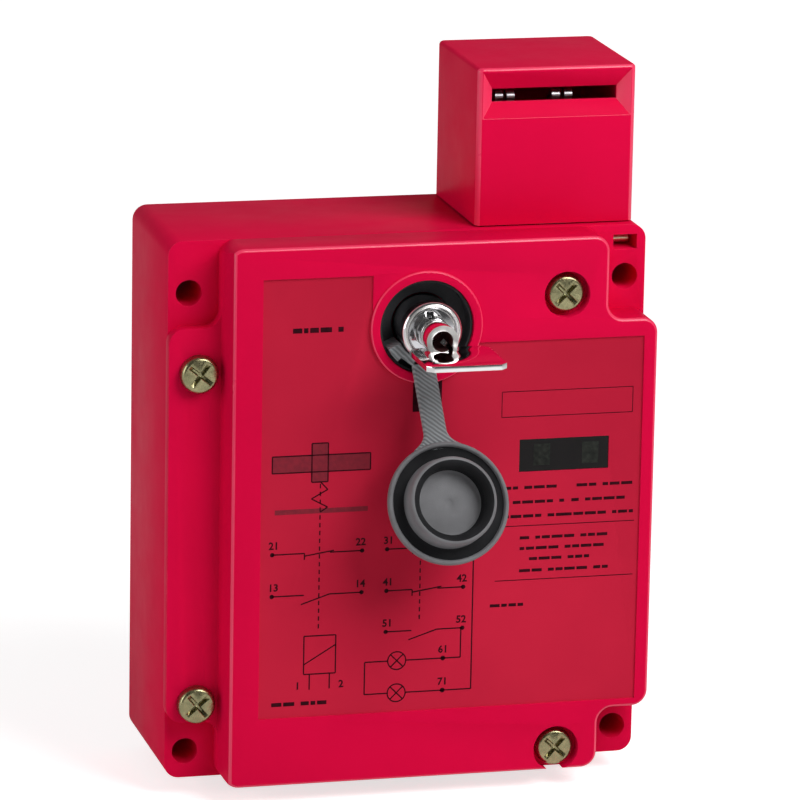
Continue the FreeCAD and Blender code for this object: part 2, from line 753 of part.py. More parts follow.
def make_lock():
    """The release lock: threaded barrel, turning plug with its ring-shaped keyway, nut and release cam."""
    place = {"x": "lock_across", "z": "lock_up"}
    barrel = new_body("lock_barrel", **place)
    profile = draw_polygon(new_sketch(barrel, "YZ_Plane"), [
        ("-barrel_face + barrel_mouth", "plug_radius + running_gap"),
        ("-barrel_face", "plug_radius + barrel_mouth"), ("-barrel_face", "barrel_radius - barrel_chamfer"),
        ("-barrel_face + barrel_chamfer", "barrel_radius"), ("-lock_floor", "barrel_radius"),
        ("-lock_floor", "barrel_shank"), ("-barrel_back", "barrel_shank"),
        ("-barrel_back", "plug_radius + running_gap"),
    ])
    turn(barrel, profile, "H_Axis")
    keep(barrel)
    plug = new_body("lock_plug", **place)
    profile = draw_polygon(new_sketch(plug, "YZ_Plane"), [
        ("-plug_face", "0"), ("-plug_face", "keyway_inner"), ("-plug_face + keyway_depth", "keyway_inner"),
        ("-plug_face + keyway_depth", "keyway_outer"), ("-plug_face", "keyway_outer"),
        ("-plug_face", "plug_radius"), ("-barrel_back", "plug_radius"), ("-barrel_back", "cam_seat"),
        ("-cam_back + 1.5", "cam_seat"), ("-cam_back + 1.5", "0"),
    ])
    turn(plug, profile, "H_Axis")
    guide = draw_box(front_sketch(plug, "plug_face"), "guide_left", "guide_right", "guide_bottom", "guide_top")
    pocket(plug, guide, "guide_depth")
    keep(plug)
    nut = new_body("lock_nut", **place)
    hexagon = [on_arc("nut_radius", 60 * i) for i in range(6)]
    outline = draw_polygon(front_sketch(nut, "body_depth - nut_thickness"), hexagon)
    draw_circle(outline, "0", "0", "barrel_shank")
    pad(nut, outline, "nut_thickness")
    keep(nut)
    cam = doc.addObject("Part::Feature", "release_cam")
    lobe = spiral_cam(SIZES["release_start"], SIZES["release_travel"], -12, 96, SIZES["cam_hub"],
                      SIZES["cam_thickness"])
    cam.Shape = lobe.cut(Part.makeCylinder(SIZES["cam_seat"], 10, Vector(0, -3, 0), Vector(0, 1, 0)))
    stand(cam, "lock_across", "-cam_back - cam_thickness", "lock_up")
    keep(cam)
    ring = new_body("cap_ring", **place)
    profile = draw_polygon(new_sketch(ring, "YZ_Plane"), [
        ("-lock_floor", "barrel_radius + 0.1"), ("-lock_floor - ring_floor", "barrel_radius + 0.1"),
        ("-lock_floor - ring_floor", "lock_recess_radius - 0.1 - ring_lip"),
        ("-body_depth - cover_depth + 0.2", "lock_recess_radius - 0.1 - ring_lip"),
        ("-body_depth - cover_depth + 0.2", "lock_recess_radius - 0.1"),
        ("-lock_floor", "lock_recess_radius - 0.1"),
    ])
    turn(ring, profile, "H_Axis")
    keep(ring)


def make_key():
    """The key: one sheet, flat at the bow and rolled into a tube with an open seam in front of it."""
    body = new_body("release_key", "lock_across", "0", "lock_up")
    tube = draw_circle(front_sketch(body, "key_root"), "0", "0", "key_outer")
    draw_circle(tube, "0", "0", "key_inner")
    pad(body, tube, "key_tube_end - key_root")
    bow = draw_polygon(new_sketch(body, "XY_Plane", "-key_outer - 0.05"), [
        ("bow_left", "-bow_start - bow_corner"), ("bow_left + bow_corner", "-bow_start"),
        ("bow_right - bow_corner", "-bow_start"), ("bow_right", "-bow_start - bow_corner"),
        ("bow_right", "-key_tip + bow_corner"), ("bow_right - bow_corner", "-key_tip"),
        ("bow_left + bow_corner", "-key_tip"), ("bow_left", "-key_tip + bow_corner"),
    ])
    pad(body, bow, "key_outer - key_inner")
    seam = draw_box(front_sketch(body, "key_tube_end"), "seam_left", "key_inner", "-key_inner - 0.05", "-1")
    pocket(body, seam, "key_tube_end - barrel_face - 1")
    keep(body)


def make_tether_anchor():
    """The strap's fixed end: a foot on the ring in the recess and a band over the boss to the bend."""
    body = new_body("tether_anchor", "lock_across", "0", "lock_up")
    band = [on_arc("anchor_inner", turn) for turn in range(205, 290, 13)]
    middle = "(tether_across - lock_across)"
    band += [
        (f"{middle} + tether_width / 2", "-anchor_end"), (f"{middle} - tether_width / 2", "-anchor_end"),
        on_arc("anchor_outer", 205),
    ]
    face = "body_depth + cover_depth + lock_boss_proud + tether_gap"
    pad(body, draw_polygon(front_sketch(body, face), band), "tether_thickness")
    foot = [on_arc("anchor_inner", turn) for turn in (205, 215, 225)]
    foot += [on_arc("anchor_outer", turn) for turn in (225, 215, 205)]
    pad(body, draw_polygon(front_sketch(body, "lock_floor + ring_floor"), foot),
        f"{face} + tether_thickness - lock_floor - ring_floor")
    keep(body)


def make_dust_cap():
    """The tethered cap, hanging open: strap, dished flange and the hollow plug that closes the recess."""
    lean = Rotation(Vector(1, 0, 0), -SIZES["tether_lean"])
    swing = Rotation(Vector(0, 1, 0), -SIZES["tether_swing"])
    body = new_body("dust_cap", "tether_across", "-tether_depth", "tether_up", lean.multiply(swing))
    flange = draw_circle(front_sketch(body, "-tether_thickness / 2"), "0", "-tether_length", "cap_radius")
    pad(body, flange, "tether_thickness + channel_depth")
    channel = draw_circle(front_sketch(body, "tether_thickness / 2 + channel_depth"), "0", "-tether_length",
                          "cap_radius - channel_inset")
    pocket(body, channel, "channel_depth")
    plug = draw_circle(front_sketch(body, "0"), "0", "-tether_length", "cap_plug_radius")
    pad(body, plug, "cap_plug_height + tether_thickness / 2")
    strap = draw_polygon(front_sketch(body, "-tether_thickness / 2"), [
        ("-tether_width / 2", "0"), ("-tether_width / 2", "-tether_length + cap_radius + 1.5"),
        ("-tether_width / 2 - strap_flare", "-tether_length + cap_radius - 1"),
        ("tether_width / 2 + strap_flare", "-tether_length + cap_radius - 1"),
        ("tether_width / 2", "-tether_length + cap_radius + 1.5"), ("tether_width / 2", "0"),
    ])
    pad(body, strap, "tether_thickness")
    cup = draw_circle(front_sketch(body, "cap_plug_height + tether_thickness / 2"), "0", "-tether_length",
                      "cap_floor_radius")
    pocket(body, cup, "cap_plug_height - cap_web")
    doc.recompute()
    front = -(SIZES["cap_plug_height"] + SIZES["tether_thickness"] / 2)
    round_edges(body, "cap_mouth_radius - cap_floor_radius", lambda edge: lies_at(edge, 1, front)
                and edge.BoundBox.XLength < 2.1 * SIZES["cap_floor_radius"], chamfer=True)
    keep(body)


# ---------------------------------------------------------------- turret head


def make_turret_head():
    """The head's shell: open below, with the tongue's slot in a funnel-shaped mouth in its front."""
    body = new_body("turret_head", "turret_across", "-turret_depth")
    half = "turret_width / 2"
    half_depth = "turret_thickness / 2"
    pad(body, draw_box(new_sketch(body, "XY_Plane", "turret_bottom"), f"-{half}", half, f"-{half_depth}",
                       half_depth), "turret_top - turret_bottom")
    round_edges(body, "1.3", lambda edge: runs_along(edge, 2))
    top = SIZES["turret_top"]
    round_edges(body, "0.8", lambda edge: lies_at(edge, 2, top))
    cavity = draw_box(new_sketch(body, "XY_Plane", "turret_bottom"), f"-{half} + turret_wall",
                      f"{half} - turret_wall", f"-{half_depth} + turret_wall", f"{half_depth} - turret_wall")
    pocket(body, cavity, "turret_top - turret_roof - turret_bottom", forwards=True)
    slot = draw_box(front_sketch(body, half_depth), "-slot_width / 2",
                    "slot_width / 2", "slot_bottom", "slot_top")
    pocket(body, slot, "turret_wall + 1")
    mouth = body.newObject("PartDesign::SubtractiveLoft", "turret_mouth")
    wide = draw_box(front_sketch(body, half_depth), "-slot_width / 2 - mouth_margin",
                    "slot_width / 2 + mouth_margin", "slot_bottom - mouth_below",
                    "slot_top + mouth_above")
    narrow = draw_box(front_sketch(body, f"{half_depth} - mouth_depth"), "-slot_width / 2",
                      "slot_width / 2", "slot_bottom", "slot_top")
    mouth.Profile = wide
    mouth.Sections = [narrow]
    mouth.Ruled = True
    holes = new_sketch(body, "XZ_Plane", f"-({half_depth})")
    for across in ("-head_screw_across", "head_screw_across"):
        draw_circle(holes, across, "turret_bottom + head_screw_rise", "1.3")
    pocket(body, holes, "turret_wall + 0.5", forwards=True)
    keep(body)


def make_spigot():
    """The head's base: a plate with two cheeks for the cam's axle over the round, grooved spigot."""
    body = new_body("turret_spigot", "turret_across", "-turret_depth")
    half = "(turret_width / 2 - turret_wall - 0.1)"
    half_depth = "(turret_thickness / 2 - turret_wall - 0.1)"
    spigot = draw_polygon(new_sketch(body, "XZ_Plane"), [
        ("spigot_hollow", "spigot_bottom"), ("spigot_radius - 0.5", "spigot_bottom"),
        ("spigot_radius", "spigot_bottom + 0.5"), ("spigot_radius", "pin_up - pin_radius - 0.2"),
        ("pin_groove", "pin_up - pin_radius - 0.2"), ("pin_groove", "pin_up + pin_radius + 0.2"),
        ("spigot_radius", "pin_up + pin_radius + 0.2"), ("spigot_radius", "turret_bottom"),
        ("spigot_hollow", "turret_bottom"),
    ])
    turn(body, spigot, "V_Axis")
    plate = draw_box(new_sketch(body, "XY_Plane", "turret_bottom"), f"-{half}", half, f"-{half_depth}",
                     half_depth)
    draw_circle(plate, "0", "0", "spigot_hollow + 1.4")
    pad(body, plate, "plate_height")
    for across in ("cheek_left", "cheek_right"):
        cheek = draw_polygon(new_sketch(body, "YZ_Plane", across), [
            (f"-{half_depth}", "turret_bottom"), (half_depth, "turret_bottom"),
            (half_depth, "turret_bottom + plate_height"), ("cheek_foot", "turret_bottom + plate_height"),
            ("cheek_top", "axle_up + cheek_rise"), ("-cheek_top", "axle_up + cheek_rise"),
            ("-cheek_foot", "turret_bottom + plate_height"),
            (f"-{half_depth}", "turret_bottom + plate_height"),
        ])
        pad(body, cheek, "cheek_width")
    axle = draw_circle(new_sketch(body, "YZ_Plane", "10"), "0", "axle_up", "axle_radius + running_gap")
    pocket(body, axle, "20")
    cores = new_sketch(body, "XZ_Plane", f"-{half_depth}")
    for across in ("-head_screw_across", "head_screw_across"):
        draw_circle(cores, across, "turret_bottom + head_screw_rise", "head_screw_core")
    pocket(body, cores, "5", forwards=True)
    keep(body)


def make_tongue_cam():
    """The wheel that the tongue turns: four fingers above, the spiral that drives the rod below."""
    width = SIZES["finger_width"]
    lean = math.radians(SIZES["finger_lean"])
    reach = SIZES["finger_reach"]
    tip = Vector(0, -reach * math.sin(lean), reach * math.cos(lean))
    across = Vector(0, math.cos(lean), math.sin(lean))

    def finger(left):
        """A tapered arm from the hub to a rounded tip."""
        offset = Vector(left, 0, 0)
        root, end = across * (SIZES["hub_radius"] * 0.85), across * SIZES["finger_tip"]
        corners = [offset - root, offset + root, offset + tip + end, offset + tip - end, offset - root]
        arm = Part.Face(Part.makePolygon(corners)).extrude(Vector(width, 0, 0))
        nose = Part.makeCylinder(SIZES["finger_tip"], width, offset + tip, Vector(1, 0, 0))
        return arm.fuse(nose)

    def hub(left, right):
        return Part.makeCylinder(SIZES["hub_radius"], right - left, Vector(left, 0, 0), Vector(1, 0, 0))

    bore = Part.makeCylinder(SIZES["axle_radius"], 40, Vector(-20, 0, 0), Vector(1, 0, 0))
    sweep = SIZES["cam_sweep"]
    rise = SIZES["cam_travel"] * 90 / sweep
    lobe = spiral_cam(SIZES["cam_start"], rise, -8, sweep + 3, SIZES["hub_radius"], SIZES["cam_width"])
    lobe.rotate(Vector(), Vector(0, 1, 0), -90)
    lobe.rotate(Vector(), Vector(0, 0, 1), 90)
    lobe.translate(Vector(SIZES["cam_width"] / 2, 0, 0))
    wheel = hub(*WHEEL_HUB).fuse([*map(finger, WHEEL_FINGERS), lobe]).cut(bore).removeSplitter()
    side = hub(*SIDE_HUB).fuse([*map(finger, SIDE_FINGERS)]).cut(bore).removeSplitter()
    for label, shape in (("tongue_cam", wheel), ("side_fingers", side)):
        item = doc.addObject("Part::Feature", label)
        item.Shape = shape
        stand(item, "turret_across", "-turret_depth", "axle_up")
        keep(item)
    keep(rod("cam_axle", "axle_radius", "21.8", ("turret_across - 12.6", "-turret_depth", "axle_up"), "x"))


def make_turret_fasteners():
    keep(rod("retaining_pin", "pin_radius", "pin_length",
             ("body_width / 2 - pin_inset - pin_length", "-pin_depth", "pin_up"), "x"))
    screw = make_screw("plate_screw_pattern", "head_screw_core", "6", "1.2", "0.8")
    back = "-turret_depth + turret_thickness / 2 - 0.9"
    places = [(f"turret_across + {across}", back, "turret_bottom + head_screw_rise")
              for across in ("head_screw_across", "-head_screw_across")]
    copies("head_plate_screws", screw, places, Rotation(Vector(0, 0, 1), 180))


# ---------------------------------------------------------------- push rod, springs and locking bolt


def make_push_rod():
    """The rod that the cam presses down: it carries the locking notch and works the right contact block."""
    body = new_body("push_rod", "turret_across", "-turret_depth")
    tip = "(axle_up - cam_start - 0.3)"
    profile = draw_polygon(new_sketch(body, "XZ_Plane"), [
        ("0", tip), ("0.9", f"{tip} - 0.3"), ("1.5", f"{tip} - 1.5"), ("rod_radius", f"{tip} - 3.5"),
        ("rod_radius", "rod_shoulder"), ("rod_body_radius", "rod_shoulder"),
        ("rod_body_radius", "notch_up + rod_notch_height / 2"),
        ("rod_notch_radius", "notch_up + rod_notch_height / 2"),
        ("rod_notch_radius", "notch_up - rod_notch_height / 2"),
        ("rod_body_radius", "notch_up - rod_notch_height / 2"), ("rod_body_radius", "rod_flange + 2"),
        ("rod_body_radius + 1.8", "rod_flange + 2"), ("rod_body_radius + 1.8", "rod_flange"),
        ("rod_radius", "rod_flange"), ("rod_radius", "rod_foot"), ("0", "rod_foot"),
    ])
    turn(body, profile, "V_Axis")
    keep(body)
    bush = new_body("rod_bush", "turret_across", "-turret_depth")
    ring = draw_circle(new_sketch(bush, "XY_Plane", "bush_bottom"), "0", "0", "bush_radius")
    draw_circle(ring, "0", "0", "rod_radius + running_gap")
    pad(bush, ring, "seat_floor - bush_bottom")
    keep(bush)


def coil_spring(radius, wire, length, turns):
    """A compression spring standing on Z = 0: hexagonal wire lofted along its helix, in short straight runs."""
    steps = 10
    sections = []
    for step in range(turns * steps + 1):
        angle = 2 * math.pi * step / steps
        height = wire + (length - 2 * wire) * step / (turns * steps)
        centre = Vector(radius * math.cos(angle), radius * math.sin(angle), height)
        outward = Vector(math.cos(angle), math.sin(angle), 0)
        ring = [centre + outward * (wire * math.cos(turn)) + Vector(0, 0, wire * math.sin(turn))
                for turn in (math.pi / 3 * i for i in range(6))]
        sections.append(Part.makePolygon(ring + ring[:1]))
    return Part.makeLoft(sections, True, True)


def make_springs():
    rod_spring = doc.addObject("Part::Feature", "rod_spring")
    low = SIZES["block_right_up"] + SIZES["block_height"]
    rod_spring.Shape = coil_spring(4.5, 0.45, SIZES["rod_flange"] - low, 5)
    stand(rod_spring, "turret_across", "-turret_depth", "block_right_up + block_height")
    keep(rod_spring)
    bolt_spring = doc.addObject("Part::Feature", "bolt_spring")
    bolt_spring.Shape = coil_spring(2.1, 0.35, 12, 6)
    stand(bolt_spring, "plunger_left - 5", "-turret_depth", "bolt_up", Rotation(Vector(0, 1, 0), 90))
    keep(bolt_spring)


def make_solenoid():
    """The solenoid: bent steel frame, fixed core, bobbin with its winding, and the spring-loaded plunger."""
    frame = new_body("solenoid_frame")
    outline = [
        ("coil_left", "-plate_front"), ("coil_right", "-plate_front"), ("coil_right", "-frame_front"),
        ("coil_right - frame_plate", "-frame_front"),
        ("coil_right - frame_plate", "-plate_front - 1.2"),
        ("coil_left + frame_plate", "-plate_front - 1.2"), ("coil_left + frame_plate", "-frame_front"),
        ("coil_left", "-frame_front"),
    ]
    pad(frame, draw_polygon(new_sketch(frame, "XY_Plane", "bolt_up - frame_height / 2"), outline),
        "frame_height")
    hole = draw_circle(new_sketch(frame, "YZ_Plane", "coil_right + 1"), "-turret_depth", "bolt_up",
                       "plunger_radius + 0.3")
    pocket(frame, hole, "5")
    keep(frame)
    core = rod("solenoid_core", "plunger_radius", "plunger_left - 5 - coil_left - frame_plate",
               ("coil_left + frame_plate", "-turret_depth", "bolt_up"), "x")
    keep(core)
    bobbin = new_body("solenoid_bobbin", "0", "-turret_depth", "bolt_up")
    left, right = "coil_left + frame_plate + 0.1", "coil_right - frame_plate - 0.1"
    profile = draw_polygon(new_sketch(bobbin, "XZ_Plane"), [
        (left, "plunger_radius + running_gap"), (left, "bobbin_radius"), (f"{left} + 1.3", "bobbin_radius"),
        (f"{left} + 1.3", "bobbin_tube"), (f"{right} - 1.3", "bobbin_tube"),
        (f"{right} - 1.3", "bobbin_radius"), (right, "bobbin_radius"),
        (right, "plunger_radius + running_gap"),
    ])
    turn(bobbin, profile, "H_Axis")
    keep(bobbin)
    coil = new_body("solenoid_coil", "0", "-turret_depth", "bolt_up")
    profile = draw_box(new_sketch(coil, "XZ_Plane"), f"{left} + 1.3", f"{right} - 1.3", "bobbin_tube",
                       "coil_radius")
    turn(coil, profile, "H_Axis")
    keep(coil)
    plunger = new_body("solenoid_plunger", "0", "-turret_depth", "bolt_up")
    profile = draw_polygon(new_sketch(plunger, "XZ_Plane"), [
        ("plunger_left", "2.8"), ("plunger_left", "plunger_radius"), ("plunger_right", "plunger_radius"),
        ("plunger_right", "1.4"), ("plunger_right - 4", "1.4"), ("plunger_right - 4", "0"),
        ("plunger_left + 7", "0"), ("plunger_left + 7", "2.8"),
    ])
    turn(plunger, profile, "H_Axis")
    keep(plunger)
    bolt = new_body("lock_bolt", "0", "-turret_depth", "bolt_up")
    tip = "(turret_across - rod_body_radius - 0.3)"
    profile = draw_polygon(new_sketch(bolt, "XZ_Plane"), [
        ("plunger_right - 4", "0"), ("plunger_right - 4", "1.4"), ("plunger_right + link_thickness", "1.4"),
        ("plunger_right + link_thickness", "3.4"), ("plunger_right + 3", "3.4"),
        ("plunger_right + 3", "bolt_radius"), (f"{tip} - 0.5", "bolt_radius"), (tip, "bolt_radius - 0.5"),
        (tip, "0"),
    ])
    turn(bolt, profile, "H_Axis")
    keep(bolt)


def make_release_link():
    """The bent strip on the plunger: its tab meets the release cam, its foot drives the left contact block."""
    body = new_body("release_link", "0", "-turret_depth")
    shelf = "bolt_up + frame_height / 2 + 3.5"
    tab = "lock_across - release_start - release_gap"
    upright = draw_polygon(new_sketch(body, "XZ_Plane", "-link_width / 2"), [
        ("plunger_right", "block_left_up - 4"), ("plunger_right + link_thickness", "block_left_up - 4"),
        ("plunger_right + link_thickness", f"{shelf} + link_thickness"),
        (f"{tab} - link_thickness", f"{shelf} + link_thickness"), (f"{tab} - link_thickness", shelf),
        ("plunger_right", shelf),
    ])
    pad(body, upright, "link_width")
    tongue = draw_box(new_sketch(body, "XZ_Plane", "-link_width / 2"), f"{tab} - link_thickness", tab, shelf,
                      "lock_up + 3")
    pad(body, tongue, "cam_back + cam_thickness + 1.5 - turret_depth + link_width / 2")
    hole = draw_circle(new_sketch(body, "YZ_Plane", "plunger_right + 3"), "0", "bolt_up", "1.4")
    pocket(body, hole, "5")
    keep(body)


def make_mounting_plate():
    """The steel plate on the body's back wall that carries the solenoid, the blocks and the bolt's guide."""
    plate = new_body("mounting_plate")
    outline = draw_box(front_sketch(plate, "back_wall"), "-42", "43.5", "18", "84")
    for across, up in PLATE_SCREWS:
        draw_circle(outline, across, up, "plate_screw_radius + 0.1")
    pad(plate, outline, "plate_front - back_wall")
    keep(plate)
    screw = make_screw("plate_fixing_pattern", "plate_screw_radius", "3.2", "2.8", "1.8", "1.9")
    copies("plate_fixings", screw, [(across, "-plate_front", up) for across, up in PLATE_SCREWS])
    guide = new_body("bolt_guide", "0", "0", "bolt_up")
    foot = draw_polygon(new_sketch(guide, "XY_Plane", "-5"), [
        ("16", "-plate_front"), ("23", "-plate_front"), ("23", "-plate_front - 1.5"),
        ("19", "-plate_front - 1.5"), ("19", "-turret_depth - 5"), ("16", "-turret_depth - 5"),
    ])
    pad(guide, foot, "10")
    hole = draw_circle(new_sketch(guide, "YZ_Plane", "24"), "-turret_depth", "0", "bolt_radius + running_gap")
    pocket(guide, hole, "10")
    keep(guide)


def make_earth_screw():
    """The earthing point: a clamp screw on a pillar of the back wall."""
    pillar = rod("earth_pillar", "3", "earth_height", ("earth_across", "-back_wall", "earth_up"), "front")
    bore = rod("earth_bore", "1.5", "6", ("earth_across", "-back_wall - 3.4", "earth_up"), "front")
    keep(joined("earth_terminal", "Cut", [pillar, bore]))
    screw = make_screw("earth_screw_pattern", "1.5", "5", "2.8", "2", "1.9")
    copies("earth_screw", screw, [("earth_across", "-back_wall - earth_height", "earth_up")])


# ---------------------------------------------------------------- contact blocks


def row_up(row):
    return f"(row_first + row_pitch * {row})"


def bridge_up(row):
    """The underside of a moving bridge at rest."""
    return f"({row_up(row)} + {0.7 if row in BREAK_ROWS else 2.5})"


def tongue_up(row):
    """The underside of the fixed contacts: above the bridge where it breaks, below where it makes."""
    return f"({row_up(row)} + {2.4 if row in BREAK_ROWS else -3.4})"


def make_block_parts(name, stem, place):
    """One contact block: moulded base, slide with three bridges, six fixed contacts and their screws."""
    axis = "-turret_depth"
    base = new_body(f"{name}_base", **place)
    pad(base, draw_box(new_sketch(base, "XY_Plane"), "-block_half", "block_half", "-block_front",
                       "-plate_front"), "block_height")
    shaft = draw_box(front_sketch(base, "block_front"), "-4.6", "4.6", "4", "slide_top + 0.6")
    pocket(base, shaft, "block_front - 11.5")
    for row in ROWS:
        chamber = draw_box(front_sketch(base, "block_front"), "-chamber_half", "chamber_half",
                           f"{row_up(row)} - chamber_height / 2", f"{row_up(row)} + chamber_height / 2")
        pocket(base, chamber, "block_front - 12")
    for row in ROWS:
        terminal = draw_box(front_sketch(base, "block_front"), "-chamber_half", "chamber_half", tongue_up(row),
                            f"{tongue_up(row)} + terminal_height")
        pocket(base, terminal, "block_front - terminal_back")
    mouth = draw_circle(new_sketch(base, "XY_Plane", "block_height"), "0", axis, "3.4")
    pocket(base, mouth, "4")
    keep(base)
    slide = new_body(f"{name}_slide", **place)
    pad(slide, draw_box(new_sketch(slide, "XY_Plane", "slide_bottom"), "-4.2", "4.2", "-20.5", "-12.2"),
        "slide_top - slide_bottom")
    for row in ROWS:
        window = draw_box(new_sketch(slide, "YZ_Plane", "0"), f"{axis} - 2.1", f"{axis} + 2.1",
                          bridge_up(row), f"{bridge_up(row)} + 0.8")
        pocket(slide, window, "20", midplane=True)
    if stem:
        pad(slide, draw_circle(new_sketch(slide, "XY_Plane", "slide_top"), "0", axis, "2.5"), stem)
    keep(slide)
    bridge = pattern_body(f"{name}_bridge_pattern")
    pad(bridge, draw_box(new_sketch(bridge, "XY_Plane"), "-7.6", "7.6", "-2", "2"), "0.8")
    copies_in(f"{name}_bridges", bridge, [("0", axis, bridge_up(row)) for row in ROWS], place)
    for side, start in (("right", "contact_inner"), ("left", "-contact_inner - contact_width")):
        contact = pattern_body(f"{name}_contact_{side}")
        outline = draw_polygon(new_sketch(contact, "YZ_Plane", start), [
            ("-14.4", "0"), ("-14.4", "1"), ("-terminal_back", "1"), ("-terminal_back", "terminal_height"),
            ("-terminal_back - 1", "terminal_height"), ("-terminal_back - 1", "0"),
        ])
        pad(contact, outline, "contact_width")
        hole = draw_circle(front_sketch(contact, "terminal_back + 1"), f"{start} + contact_width / 2",
                           "terminal_height / 2", "1.1")
        pocket(contact, hole, "1")
        places = [("0", "0", tongue_up(row)) for row in ROWS]
        copies_in(f"{name}_contacts_{side}", contact, places, place)
    screw = make_screw(f"{name}_screw_pattern", "1.1", "1", "1.6", "1.6", "1.2")
    middle = "(contact_inner + contact_width / 2)"
    screws = [(f"{sign}{middle}", "-terminal_back - 1", f"{tongue_up(row)} + terminal_height / 2")
              for row in ROWS for sign in ("-", "")]
    copies_in(f"{name}_terminal_screws", screw, screws, place)


def copies_in(label, pattern, places, place):
    """Copies placed in a contact block's own frame, then moved with the block."""
    group = copies(label, pattern, places)
    stand(group, place.get("x", "0"), place.get("y", "0"), place.get("z", "0"), place.get("rotation"))
    return group


def make_contact_blocks():
    make_block_parts("tongue_block", None, {"x": "turret_across", "z": "block_right_up"})
    across = Rotation(Vector(0, 1, 0), 90)
    make_block_parts("bolt_block", "plunger_right - block_left_across - slide_top",
                     {"x": "block_left_across", "z": "block_left_up", "rotation": across})


# ---------------------------------------------------------------- build, check and write


def check_document():
    """Stop if any object failed or any piece is empty or invalid."""
    doc.recompute()
    for item in doc.Objects:
        if any(word in item.State for word in ("Invalid", "Error")):
            raise RuntimeError(f"{item.Label} failed: {item.State}")
    for item in nodes:
        shape = item.Shape
        if shape.isNull() or not shape.isValid() or not shape.Solids:
            raise RuntimeError(f"{item.Label} has no valid solid")


def write_nodes():
    os.makedirs("parts", exist_ok=True)
    for item in nodes:
        item.Shape.exportStep(f"parts/{item.Label}.step")
        print(f"{item.Label}: {len(item.Shape.Solids)} solid(s), {item.Shape.Volume / 1000:.2f} cm3")


fill_sheet()
make_housing()
make_front_cover()
make_gasket()
make_cover_screws()
make_cable_plug()
make_window()
make_lock()
make_key()
make_tether_anchor()
make_dust_cap()
make_turret_head()
make_spigot()
make_tongue_cam()
make_turret_fasteners()
make_push_rod()
make_springs()
make_solenoid()
make_release_link()
make_mounting_plate()
make_earth_screw()
make_contact_blocks()
check_document()
write_nodes()
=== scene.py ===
"""Looks of a tongue interlock switch with solenoid locking, key release and turret head.

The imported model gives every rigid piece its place. This script dresses each one, and replaces those whose
edges, recesses or rubber need a finer mesh. Lengths inside the classes are in millimetres in the drawing's
own frame, whose height starts at the body's lower face; Drawing turns them into metres in the part's frame.
"""

import json
import logging
import math
from dataclasses import dataclass, field
from enum import Enum
from typing import Iterable, Sequence

import bmesh
import bpy
from mathutils import Matrix, Vector

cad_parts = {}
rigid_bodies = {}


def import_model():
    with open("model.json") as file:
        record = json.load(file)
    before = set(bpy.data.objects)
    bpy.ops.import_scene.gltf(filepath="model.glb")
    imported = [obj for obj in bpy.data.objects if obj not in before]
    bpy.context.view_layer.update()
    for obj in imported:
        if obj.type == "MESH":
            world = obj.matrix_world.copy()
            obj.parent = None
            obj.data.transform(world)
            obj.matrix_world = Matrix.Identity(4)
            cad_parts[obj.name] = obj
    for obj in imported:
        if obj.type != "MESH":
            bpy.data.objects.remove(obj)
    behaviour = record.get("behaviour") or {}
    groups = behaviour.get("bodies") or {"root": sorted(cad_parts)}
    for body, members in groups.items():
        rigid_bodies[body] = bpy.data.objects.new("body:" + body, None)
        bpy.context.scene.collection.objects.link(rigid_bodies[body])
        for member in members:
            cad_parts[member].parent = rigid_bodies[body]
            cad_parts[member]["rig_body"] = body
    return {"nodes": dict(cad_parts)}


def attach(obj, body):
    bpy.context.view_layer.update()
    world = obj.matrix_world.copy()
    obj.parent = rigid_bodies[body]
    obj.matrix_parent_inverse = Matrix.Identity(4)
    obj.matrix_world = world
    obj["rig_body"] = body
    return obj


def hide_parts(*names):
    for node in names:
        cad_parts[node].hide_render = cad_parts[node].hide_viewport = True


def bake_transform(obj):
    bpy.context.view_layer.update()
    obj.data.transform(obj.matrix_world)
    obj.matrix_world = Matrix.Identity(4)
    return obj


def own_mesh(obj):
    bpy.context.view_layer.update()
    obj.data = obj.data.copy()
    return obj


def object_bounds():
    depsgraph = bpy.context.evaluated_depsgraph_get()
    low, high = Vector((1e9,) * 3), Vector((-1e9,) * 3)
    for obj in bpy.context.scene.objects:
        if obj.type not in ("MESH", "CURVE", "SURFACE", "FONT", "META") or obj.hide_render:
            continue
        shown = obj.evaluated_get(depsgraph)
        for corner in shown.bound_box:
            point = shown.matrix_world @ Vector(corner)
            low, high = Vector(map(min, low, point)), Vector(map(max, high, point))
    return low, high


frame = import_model()
CAD_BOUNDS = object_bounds()

LOG = logging.getLogger("interlock")
MM = 0.001
DIAGONAL_WAVE = 0.628  # a diagonal wave's length along an axis, at a scale of 1
MERGE_MM = 0.002  # corners of a CAD mesh that are closer than this are one
FLAT_DEG = 0.6  # faces of a CAD mesh that turn by less than this are one
UNEVEN = 2.399  # an angle whose multiples never fall into a rhythm
Colour = tuple[float, float, float]
Point = tuple[float, float, float]
Span = tuple[float, float]
Box = tuple[float, float, float, float]
Mesh = bmesh.types.BMesh
Socket = bpy.types.NodeSocket
Values = dict[str, object]


class Body(Enum):
    """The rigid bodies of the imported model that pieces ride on."""

    ENCLOSURE = "enclosure"
    TURRET = "turret"
    CAM = "cam_wheel"
    ROD = "push_rod_set"
    BOLT = "bolt_set"
    ROTOR = "lock_rotor"
    KEY = "key_body"
    CAP = "cap_body"


class Slot(Enum):
    """The record's material slots."""

    RED_PAINT = "red_paint"
    CAST_ZINC = "cast_zinc"
    BLACK_RUBBER = "black_rubber"
    GREY_RUBBER = "grey_rubber"
    YELLOW_ZINC = "yellow_zinc"
    BLACK_PLASTIC = "black_plastic"
    SMOKED_PLASTIC = "smoked_plastic"
    CIRCUIT_BOARD = "circuit_board"
    LAMP_PLASTIC = "lamp_plastic"
    CHROME_PLATE = "chrome_plate"
    STEEL = "steel"
    BRASS = "brass_parts"
    WHITE_PLASTIC = "white_plastic"
    COPPER = "copper_winding"


# ------------------------------------------------------------------------------------------ materials


